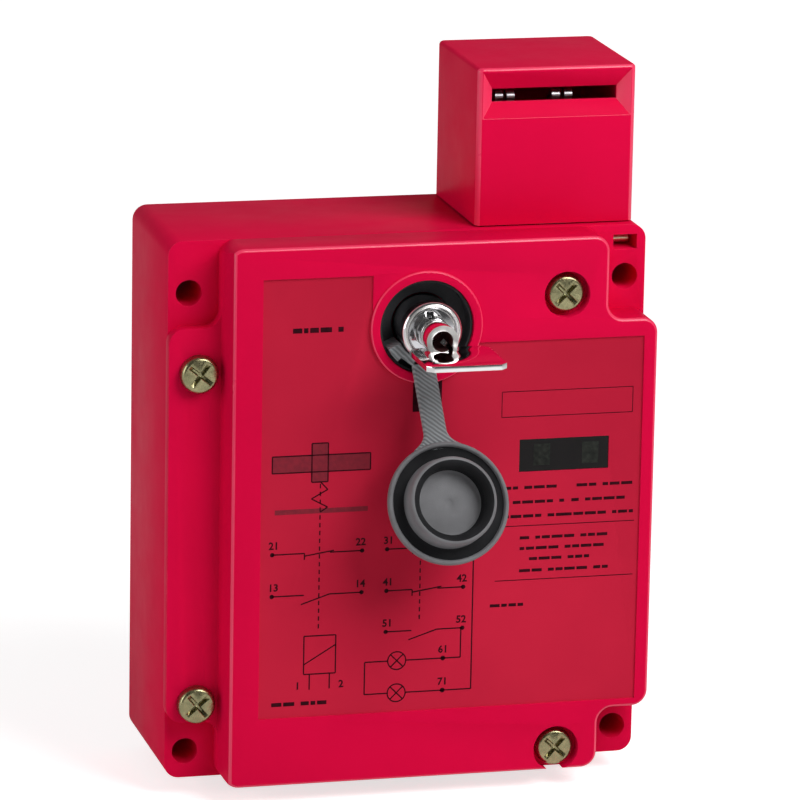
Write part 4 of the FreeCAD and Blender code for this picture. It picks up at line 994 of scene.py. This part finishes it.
    def filler(self, left: float, right: float, z: float, seed: int, height: float) -> None:
        """Print a row of short unreadable bars in place of small words.

        Args:
            left: where the row starts.
            right: where it ends.
            z: its height.
            seed: a number that settles the bars' lengths and gaps.
            height: the bars' height.
        """
        x = left
        i = seed
        least, more = self.bar
        letter_gap, word_gap = self.gaps
        while x < right - self.spare:
            length = min(least + more * abs(math.sin(i * UNEVEN)), right - x)
            self.stroke(x, z, x + length, z, height)
            x += length + (letter_gap if i % 4 else word_gap)
            i += 1

    def contact(self, column: Span, z: float, closed: bool, names: tuple[str, str]) -> None:
        """Print one contact: two leads with end dots, their numbers, and a blade that meets or misses.

        Args:
            column: where its leads start and end, across.
            z: the leads' height.
            closed: whether the blade meets the second lead.
            names: the numbers of its two ends.
        """
        left, right = column
        near, far = (left + right) / 2 - self.blade, (left + right) / 2 + self.blade
        self.stroke(left, z, near, z)
        self.stroke(far, z, right, z)
        self.dot(left, z)
        self.dot(right, z)
        if closed:
            low, past, high = self.closed_blade
            self.stroke(near, z - low, far + past, z + high)
            self.stroke(near, z, near, z - self.hook)
        else:
            past, low = self.open_blade
            self.stroke(near - past, z - low, far, z)
        inside, above = self.contact_number
        for text, x in zip(names, (left + inside, right - inside)):
            self.number(text, x, z + above)

    def actuator(self) -> None:
        """Print the tongue on its stem, with the ratchet line that leads down to the contacts."""
        self.area(self.tongue, PrintKind.GREY)
        self.frame_lines(self.tongue)
        left, bottom, right, top = self.tongue_stem
        self.area((left, bottom, right, self.tongue[1]), PrintKind.GREY)
        self.area((left, self.tongue[3], right, top), PrintKind.GREY)
        self.frame_lines(self.tongue_stem)
        turns = (self.axis, right, left, right, self.axis)
        zigzag = [(x, bottom - drop) for x, drop in zip(turns, self.zigzag_drops)]
        for start, end in zip(zigzag, zigzag[1:]):
            self.stroke(*start, *end)
        self.area(self.ratchet, PrintKind.GREY)

    def contacts(self) -> None:
        """Print both columns of contacts, joined by dashed lines."""
        upper, middle, lower = self.rows
        for column, z, closed, names in ((self.left_column, upper, True, ("21", "22")),
                                         (self.left_column, middle, False, ("13", "14")),
                                         (self.right_column, upper, True, ("31", "32")),
                                         (self.right_column, middle, True, ("41", "42")),
                                         (self.right_column, lower, False, ("51", "52"))):
            self.contact(column, z, closed, names)
        for x, top in zip((self.axis, self.second_axis), self.dash_tops):
            self.dashes(x, top, self.dash_foot)

    def coil_symbol(self) -> None:
        """Print the solenoid's box with its diagonal and leads."""
        left, bottom, right, top = self.coil
        inset, drop = self.coil_lead
        off = self.coil_number
        self.frame_lines(self.coil)
        self.stroke(left, bottom + self.coil_slant, right, top - self.coil_slant)
        for x, text, aside in ((left + inset, "1", -off), (right - inset, "2", off)):
            self.stroke(x, bottom, x, bottom - drop)
            self.number(text, x + aside, bottom - off)

    def lamp_circuit(self) -> None:
        """Print the two lamps and their wiring."""
        x = self.lamp_across
        reach = self.lamp_radius * math.sqrt(0.5)
        for z, lead, text in zip(self.lamps, self.lamp_leads, ("61", "71")):
            self.ring(x, z, self.lamp_radius)
            self.stroke(x - reach, z - reach, x + reach, z + reach)
            self.stroke(x - reach, z + reach, x + reach, z - reach)
            self.stroke(x + self.lamp_radius, z, lead, z)
            self.stroke(x - self.lamp_radius, z, self.lamp_return, z)
            self.dot(self.lamp_dot, z, self.lamp_dot_radius)
            self.number(text, self.lamp_dot, z + self.lamp_number)
        upper, lower = self.lamps
        near, far = self.lamp_leads
        for ends in ((self.lamp_return, lower, self.lamp_return, upper), (near, self.rows[2], near, upper),
                     (far, self.supply, far, lower), (self.right_column[1], self.supply, far, self.supply)):
            self.stroke(*ends)

    def small_print(self) -> None:
        """Print the rows of filler and the thin rules at the right, and the short rows elsewhere."""
        for row in self.heading_words:
            self.filler(*row)
        for ends in self.rules:
            self.stroke(*ends, self.rule_line)
        for row in self.other_words:
            self.filler(*row)
        self.area(self.tab, PrintKind.DARK)
        self.frame_lines(self.name_box, self.name_line)

    def paint_lamp_glimpses(self) -> None:
        """Paint the lamps' look through the smoked pane as lighter patches on it: painted light in place of
        light through the glass.
        """
        left, bottom, right, top = self.window_lamp
        lift = Matrix.Translation((0.0, self.pane - self.level, 0.0))
        for x in self.window_lamps:
            corners = [(x + left, bottom), (x + right, bottom), (x + right, top), (x + left, top)]
            self.parts[PrintKind.LAMP].append(settled(plate(corners, self.ink), lift))

    def build(self) -> None:
        """Print everything as one piece for each ink."""
        self.actuator()
        self.contacts()
        self.coil_symbol()
        self.lamp_circuit()
        self.small_print()
        self.paint_lamp_glimpses()
        for kind, parts in self.parts.items():
            lift = 0.0 if kind is PrintKind.GREY else self.raised
            mesh = settled(merged(parts), DRAWING.place(0.0, self.level - lift, 0.0))
            finished_piece(f"panel_print_{kind.name.lower()}", mesh, kind.value, Body.ENCLOSURE)


@dataclass
class CoverScrews:
    """Pan heads with a crossed recess.

    The crown is (share of the head's height, radius) from the flat down, and the shank's end is its depth.
    """

    head_height: float = 2.3
    flat_radius: float = 3.1
    wing_length: float = 2.8
    wing_width: float = 0.8
    recess_depth: float = 1.3
    recess_taper: float = 0.62
    crown: tuple[Span, ...] = ((0.93, 3.4), (0.80, 3.62), (0.55, 3.78), (0.15, 3.85), (0.0, 3.73), (0.0, 2.0))
    shank_end: float = 3.0
    spots: tuple[Point, ...] = ((-43.1, -37.5, 84.0), (-43.1, -37.5, 16.3), (30.0, -41.0, 98.4),
                                (30.0, -41.0, 4.4))
    turns_deg: tuple[float, ...] = (38.0, 50.0, 45.0, 42.0)
    edge: float = 0.08

    def head(self) -> Mesh:
        """Make one screw.

        Returns:
            Its mesh in millimetres, with its underside at Y = 0 and its head towards -Y.
        """
        mesh = bmesh.new()
        long, half = self.wing_length, self.wing_width / 2
        star = [(half, half), (half, long), (-half, long), (-half, half), (-long, half), (-long, -half),
                (-half, -half), (-half, -long), (half, -long), (half, -half), (long, -half), (long, half)]
        cross = [mesh.verts.new((x, -self.head_height, z)) for x, z in star]
        slot_edges = [mesh.edges.new((a, b)) for a, b in zip(cross, cross[1:] + cross[:1])]
        ring = bmesh.ops.create_circle(mesh, segments=48, radius=self.flat_radius, cap_ends=False,
                                       matrix=Matrix.Translation((0, -self.head_height, 0))
                                       @ Matrix.Rotation(math.pi / 2, 4, "X"))
        rim = list({edge for vert in ring["verts"] for edge in vert.link_edges})
        bmesh.ops.triangle_fill(mesh, edges=slot_edges + rim, use_beauty=True)
        self.sink(mesh, slot_edges)
        self.flow_down(mesh, rim)
        bmesh.ops.recalc_face_normals(mesh, faces=mesh.faces[:])
        return mesh

    def sink(self, mesh: Mesh, edges: list[bmesh.types.BMEdge]) -> None:
        """Draw the recess down from its outline, tapering, and close its floor.

        Args:
            mesh: the screw.
            edges: the recess's outline.
        """
        verts, floor = outgrowth(bmesh.ops.extrude_edge_only(mesh, edges=edges))
        bmesh.ops.translate(mesh, verts=verts, vec=(0.0, self.recess_depth, 0.0))
        bmesh.ops.scale(mesh, verts=verts, vec=(self.recess_taper, 1.0, self.recess_taper))
        bmesh.ops.contextual_create(mesh, geom=floor)

    def flow_down(self, mesh: Mesh, edges: list[bmesh.types.BMEdge]) -> None:
        """Carry the head's crown and the shank down from the flat, and close the end.

        Args:
            mesh: the screw.
            edges: the flat's rim.
        """
        levels = [(-self.head_height * share, radius) for share, radius in self.crown]
        levels.append((self.shank_end, levels[-1][1]))
        radius, loop = self.flat_radius, edges
        for level, wanted in levels:
            verts, loop = outgrowth(bmesh.ops.extrude_edge_only(mesh, edges=loop))
            step = level - sum(vert.co.y for vert in verts) / len(verts)
            bmesh.ops.translate(mesh, verts=verts, vec=(0.0, step, 0.0))
            bmesh.ops.scale(mesh, verts=verts, vec=(wanted / radius, 1.0, wanted / radius))
            radius = wanted
        bmesh.ops.contextual_create(mesh, geom=loop)

    def build(self) -> None:
        """Make the four screws as one piece."""
        mesh = merged(settled(self.head(), DRAWING.place(*spot, Matrix.Rotation(math.radians(turn), 4, "Y")))
                      for spot, turn in zip(self.spots, self.turns_deg))
        soften(mesh, self.edge, 1, 40.0)
        finished_piece("cover_screw_heads", mesh, "yellow_passivated_zinc", Body.ENCLOSURE, ("cover_screws",))


@dataclass
class ReleaseLock:
    """The key lock in its recess: chrome barrel and plug, black ring, and the tube key.

    Each entry is a node, its finish, its edges' finish (a paler painted highlight on the metal pieces) and
    the edges' width.
    """

    pieces: tuple[tuple[str, str, str, float], ...] = (
        ("lock_barrel", "bright_chrome", "painted_highlight_nickel", 0.14),
        ("lock_plug", "bright_chrome", "painted_highlight_nickel", 0.10),
        ("cap_ring", "black_seal_rubber", "black_seal_rubber", 0.12),
        ("release_key", "mirror_nickel", "painted_highlight_nickel", 0.2))
    across: float = 1.3
    up: float = 93.05
    bore: float = 2.1
    bore_margin: float = 0.1
    tube_end: float = -56.5
    end_margin: float = 0.3

    def build(self) -> None:
        """Make the lock's visible pieces."""
        for node, finish, edges, width in self.pieces:
            mesh = cad_copy(node)
            soften(mesh, width, 2, 40.0, 1)
            if node == "release_key":
                self.mark_tube(mesh)
            finished_piece(f"{node}_dressed", mesh, finish, node_body(node), (node,),
                           more=(edges, "painted_reflection_bore"))

    def mark_tube(self, mesh: Mesh) -> None:
        """Give the tube's end ring the paler painted highlight, and its bore a dark red painted reflection of
        the red cover.

        Args:
            mesh: the key.
        """
        axis = DRAWING.point(self.across, 0.0, self.up)
        for face in mesh.faces:
            centre = face.calc_center_median()
            reach = math.hypot(centre.x - axis.x, centre.z - axis.z)
            # the end ring takes the painted highlight, the bore the painted red reflection
            if face.normal.y < -0.9 and abs(centre.y - self.tube_end * MM) < self.end_margin * MM:
                face.material_index = 1
            elif reach < (self.bore + self.bore_margin) * MM:
                face.material_index = 2


@dataclass
class TetheredCap:
    """The rubber cap hanging open: dished flange, hollow plug, and the strap that bends over the boss.

    Distances along the cap's axis grow backwards from the strap's middle; hinge is the strap's bend. The
    foot is (across, depth, height, share of the lean) of the strap's sections over the boss, and the root is
    (distance short of the flange's rim, added width) of those where it widens into the flange.
    """

    hinge: Point = (0.5, -45.5, 84.9)
    lean_deg: float = 22.0
    swing_deg: float = 5.8
    length: float = 27.0
    width: float = 4.6
    thickness: float = 1.2
    corner: float = 0.3
    flange_radius: float = 12.2
    plug_radius: float = 8.9
    cup_radius: float = 6.6
    foot: tuple[tuple[float, float, float, float], ...] = (
        (-0.08, -45.35, 86.6, 0.0), (-0.05, -45.35, 86.0, 0.0), (-0.03, -45.36, 85.5, 0.15),
        (-0.01, -45.41, 85.1, 0.4), (0.0, -45.52, 84.75, 0.7))
    fall_start: float = 0.6
    fall_step: float = 0.9
    fall_spare: float = 3.0
    root: tuple[Span, ...] = ((1.8, 0.1), (1.1, 0.6), (0.4, 1.6), (-0.2, 3.0), (-0.8, 4.8), (-1.3, 5.6))
    foot_edge: float = 0.25
    bend_above: float = 0.8
    bend_below: float = 1.2
    bend_forward: float = 0.3

    def turn(self, share: float = 1.0) -> Matrix:
        """The cap's lean and swing, or a share of them."""
        lean = Matrix.Rotation(math.radians(-self.lean_deg * share), 4, "X")
        return lean @ Matrix.Rotation(math.radians(-self.swing_deg * share), 4, "Y")

    def cup(self) -> Mesh:
        """Turn the flange with its lip and channel, and the plug with its cup, about their axis; the cup's
        inner wall and the channel get painted shade.

        Returns:
            The mesh in millimetres, placed below the bend.
        """
        rim, plug, cup = self.flange_radius, self.plug_radius, self.cup_radius
        back = [(0.6, 0.0), (0.6, rim - 0.6), (0.45, rim - 0.25), (0.1, rim), (-0.9, rim)]
        lip = [(-1.2, rim - 0.08), (-1.38, rim - 0.28), (-1.4, rim - 0.5), (-1.33, rim - 0.75),
               (-1.1, rim - 0.9), (-0.75, rim - 1.0)]
        channel = [(-0.6, rim - 1.2), (-0.6, plug + 0.35), (-0.7, plug + 0.12)]
        wall = [(-0.95, plug), (-4.7, plug - 0.12), (-5.2, plug - 0.25), (-5.48, plug - 0.5),
                (-5.6, plug - 0.85), (-5.5, plug - 1.2), (-5.1, plug - 1.6)]
        bowl = [(-4.5, cup + 0.25), (-3.9, cup + 0.05), (-1.7, cup), (-1.2, cup - 0.12),
                (-1.02, cup - 0.45), (-1.0, cup - 0.9)]
        pip = [(-1.12, 3.2), (-1.15, 1.0), (-1.0, 0.75), (-0.9, 0.4), (-0.9, 0.0)]
        mesh = turned(back + lip + channel + wall + bowl + pip, 96)
        # painted shade: the bowl's inner wall and the channel take the near-black rubber, material 1
        for face in mesh.faces:
            centre = face.calc_center_median()
            reach = math.hypot(centre.x, centre.z)
            shade_in_bowl = cup - 0.3 < reach < plug - 1.0 and centre.y < -1.15
            shade_in_channel = plug + 0.1 < reach < rim - 1.0 and centre.y > -0.8 and face.normal.y < -0.5
            face.material_index = 1 if shade_in_bowl or shade_in_channel else 0
        return settled(mesh, Matrix.Translation((0.0, 0.0, -self.length)))

    def section(self, width: float) -> list[Vector]:
        """The strap's section at a place along it: a bar with its long edges broken."""
        half, deep, cut = width / 2, self.thickness / 2, self.corner
        return [Vector((x * half + x * dx, y * deep + y * dy, 0.0))
                for x, y, dx, dy in ((-1, -1, -cut, 0), (1, -1, -cut, 0), (1, -1, 0, -cut), (1, 1, 0, -cut),
                                     (1, 1, -cut, 0), (-1, 1, -cut, 0), (-1, 1, 0, -cut), (-1, -1, 0, -cut))]

    def stations(self) -> list[tuple[Matrix, float]]:
        """Settle the strap's sections: down over the boss, round the bend, to the flange.

        Returns:
            The place of each section, and the strap's width there.
        """
        places = [(Matrix.Translation((self.hinge[0] + aside, at, up)) @ self.turn(share), self.width)
                  for aside, at, up, share in self.foot]
        near = self.length - self.flange_radius
        count = int((near - self.fall_spare) / self.fall_step) + 1
        falls = [(self.fall_start + i * self.fall_step, self.width) for i in range(count)]
        falls += [(near - short, self.width + added) for short, added in self.root]
        bend = Matrix.Translation(self.hinge) @ self.turn()
        return places + [(bend @ Matrix.Translation((0.0, 0.0, -fall)), width) for fall, width in falls]

    def strap(self) -> Mesh:
        """Draw the strap's bar from its first section to its last.

        Returns:
            The mesh, in millimetres in the drawing's frame.
        """
        mesh = bmesh.new()
        stations = self.stations()
        place, width = stations[0]
        loop = [mesh.verts.new(place @ point) for point in self.section(width)]
        edges = [mesh.edges.new(pair) for pair in zip(loop, loop[1:] + loop[:1])]
        bmesh.ops.contextual_create(mesh, geom=edges)
        for (before, was), (place, width) in zip(stations, stations[1:]):
            verts, edges = outgrowth(bmesh.ops.extrude_edge_only(mesh, edges=edges))
            stretch = Matrix.Scale(width / was, 4, (1.0, 0.0, 0.0))
            bmesh.ops.transform(mesh, matrix=place @ stretch @ before.inverted(), verts=verts)
        bmesh.ops.contextual_create(mesh, geom=edges)
        bmesh.ops.recalc_face_normals(mesh, faces=mesh.faces[:])
        return mesh

    def build(self) -> None:
        """Make the cap, and the strap with its foot as one piece on no body, across the bend."""
        cup = settled(self.cup(), DRAWING.place(*self.hinge, self.turn()))
        finished_piece("dust_cap_cup", cup, "grey_cap_rubber", Body.CAP, ("dust_cap",), sharp_deg=50.0,
                       more=("painted_shade_cap_rubber",))
        foot = cad_copy("tether_anchor")
        soften(foot, self.foot_edge, 2, 40.0)
        band = settled(self.strap(), DRAWING.place())
        strap = finished_piece("dust_cap_strap", merged((foot, band)), "ribbed_strap_rubber", None,
                               ("tether_anchor",))
        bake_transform(strap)


@dataclass
class Internals:
    """The pieces behind the cover and in the head: their CAD shapes with their own finishes."""

    finishes: dict[str, tuple[str, ...]] = field(default_factory=lambda: {
        "black_seal_rubber": ("cover_gasket", "plug_washer"),
        "yellow_passivated_zinc": ("plate_fixings", "head_plate_screws", "earth_screw", "board_screws",
                                   "tongue_block_terminal_screws", "bolt_block_terminal_screws"),
        "black_thermoplastic": ("blanking_plug", "tongue_block_base", "bolt_block_base"),
        "smoked_window": ("lamp_window",),
        "green_board_lacquer": ("lamp_board",),
        "clear_lamp_resin": ("status_lamps",),
        "pale_passivated_pin": ("retaining_pin",),
        "ground_steel": ("lock_nut", "release_cam", "solenoid_frame", "solenoid_core",
                         "solenoid_plunger", "lock_bolt", "release_link", "mounting_plate", "bolt_guide",
                         "tongue_cam", "side_fingers", "cam_axle", "push_rod"),
        "die_cast_zinc": ("turret_spigot",),
        "drawn_brass": ("rod_bush", "earth_terminal", "tongue_block_contacts_left",
                        "tongue_block_contacts_right", "bolt_block_contacts_left",
                        "bolt_block_contacts_right", "tongue_block_bridges", "bolt_block_bridges"),
        "natural_acetal": ("solenoid_bobbin", "tongue_block_slide", "bolt_block_slide"),
        "taped_copper_winding": ("solenoid_coil",),
    })

    def build(self) -> None:
        """Dress the nodes."""
        for finish, nodes in self.finishes.items():
            dress(finish, *nodes)


@dataclass
class ReturnSprings:
    """The two coil springs, each a copy of its CAD mesh in ground steel.

    Each entry is a node, the slide's joint, the slide's axis and its travel in millimetres.
    """

    springs: tuple[tuple[str, str, Point, float], ...] = (
        ("rod_spring", "rod_slide", (0.0, 0.0, 1.0), 4.0),
        ("bolt_spring", "bolt_slide", (1.0, 0.0, 0.0), 4.0),
    )

    def build(self) -> None:
        """Make both springs."""
        for node, joint, axis, travel in self.springs:
            mesh = cad_copy(node)
            reach = [vert.co.dot(Vector(axis)) for vert in mesh.verts]
            piece = finished_piece(f"{node}_wound", mesh, "ground_steel", node_body(node), (node,))
            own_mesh(piece)


# ------------------------------------------------------------------------------------------ the studio


@dataclass
class Studio:
    """A pale floor, soft lamps and the camera.

    Each lamp is its name, its place and side in metres, its power in watts, and whether glossy surfaces
    show it.
    """

    azimuth: float = -0.2546
    elevation: float = 0.2476
    roll: float = 0.0186
    distance_mm: float = 1150.0
    target: Point = (1.9, -22.0, 72.7)
    lens_mm: float = 257.2
    sensor_mm: float = 36.0
    lamps: tuple[tuple[str, Point, float, float, bool], ...] = (
        ("key_softbox", (0.25, -0.40, 0.42), 0.35, 3.0, True),
        ("side_softbox", (-1.2, -0.15, 0.35), 0.7, 4.4, True),
        ("rear_softbox", (0.6, 1.1, 0.1), 0.7, 2.5, False),
    )
    floor_size: float = 6.0
    floor_grey: Colour = (0.82, 0.82, 0.82)
    floor_rough: float = 0.8
    floor_glow: float = 0.70
    mirrored_glow: float = 0.15
    ambient: float = 0.2
    backdrop_depth: Span = (-0.5, 0.2)
    backdrop_glow: Span = (0.06, 0.2)

    def build(self) -> None:
        """Make the floor, the world, the lamps and the camera."""
        self.floor()
        self.world()
        for lamp in self.lamps:
            self.lamp(*lamp)
        self.camera()
        bpy.context.scene.view_settings.view_transform = "Standard"

    def camera(self) -> None:
        """Aim the camera at the object from its front, a little left and above."""
        data = bpy.data.cameras.new("camera")
        data.sensor_width = self.sensor_mm
        data.lens = self.lens_mm
        camera = shown("camera", data)
        back = Vector((math.sin(self.azimuth) * math.cos(self.elevation),
                       -math.cos(self.azimuth) * math.cos(self.elevation), math.sin(self.elevation)))
        camera.location = DRAWING.point(*self.target) + back * self.distance_mm * MM
        look = back.to_track_quat("Z", "Y").to_matrix().to_4x4()
        camera.matrix_world = Matrix.Translation(camera.location) @ look @ Matrix.Rotation(self.roll, 4, "Z")
        bpy.context.scene.camera = camera

    def floor(self) -> None:
        """A wide pale floor that ends in white where the camera sees it."""
        mesh = bmesh.new()
        bmesh.ops.create_grid(mesh, x_segments=1, y_segments=1, size=self.floor_size / 2)
        bmesh.ops.translate(mesh, verts=mesh.verts[:], vec=(0.0, 0.0, CAD_BOUNDS[0][2]))
        floor = shown("floor", data_of(mesh, "floor"))
        tree = ShaderTree("pale_floor")
        tree.fill(tree.shader, {
            "Base Color": (*self.floor_grey, 1.0), "Roughness": self.floor_rough,
            "Emission Color": (1.0, 1.0, 1.0, 1.0),
            "Emission Strength": tree.by_ray(0.0, self.mirrored_glow, self.floor_glow)})
        floor.data.materials.append(tree.material)

    def world(self) -> None:
        """White where the camera sees it, pale behind and dim in front for reflections, soft for the rest."""
        world = bpy.data.worlds.new("studio")
        bpy.context.scene.world = world
        tree = NodeTree(world)
        place = tree.made("ShaderNodeTexCoord", "Generated", {})
        depth = tree.made("ShaderNodeMapRange", "Result", {
            "Value": tree.made("ShaderNodeSeparateXYZ", "Y", {"Vector": place}),
            "From Min": self.backdrop_depth[0], "From Max": self.backdrop_depth[1],
            "To Min": self.backdrop_glow[0], "To Max": self.backdrop_glow[1]})
        tree.fill(tree.nodes["Background"], {"Color": (1.0, 1.0, 1.0, 1.0),
                                             "Strength": tree.by_ray(self.ambient, depth, 1.0)})

    def lamp(self, name: str, place: Point, size: float, power: float, mirrored: bool) -> None:
        """Set up a square soft lamp that points at the object.

        Args:
            name: its name.
            place: where it stands, in metres.
            size: its side, in metres.
            power: its power in watts.
            mirrored: whether glossy surfaces show it.
        """
        data = bpy.data.lights.new(name, "AREA")
        data.size = size
        data.energy = power
        lamp = shown(name, data)
        lamp.location = place
        lamp.visible_glossy = mirrored
        back = Vector(place) - DRAWING.point(*self.target)
        lamp.rotation_euler = back.to_track_quat("Z", "Y").to_euler()


def main() -> None:
    """Build everything in order."""
    logging.basicConfig(level=logging.INFO, format="%(message)s")
    Studio().build()
    Casing().build()
    PanelPrint().build()
    CoverScrews().build()
    ReleaseLock().build()
    TetheredCap().build()
    Internals().build()
    ReturnSprings().build()


if __name__ == "__main__":
    main()
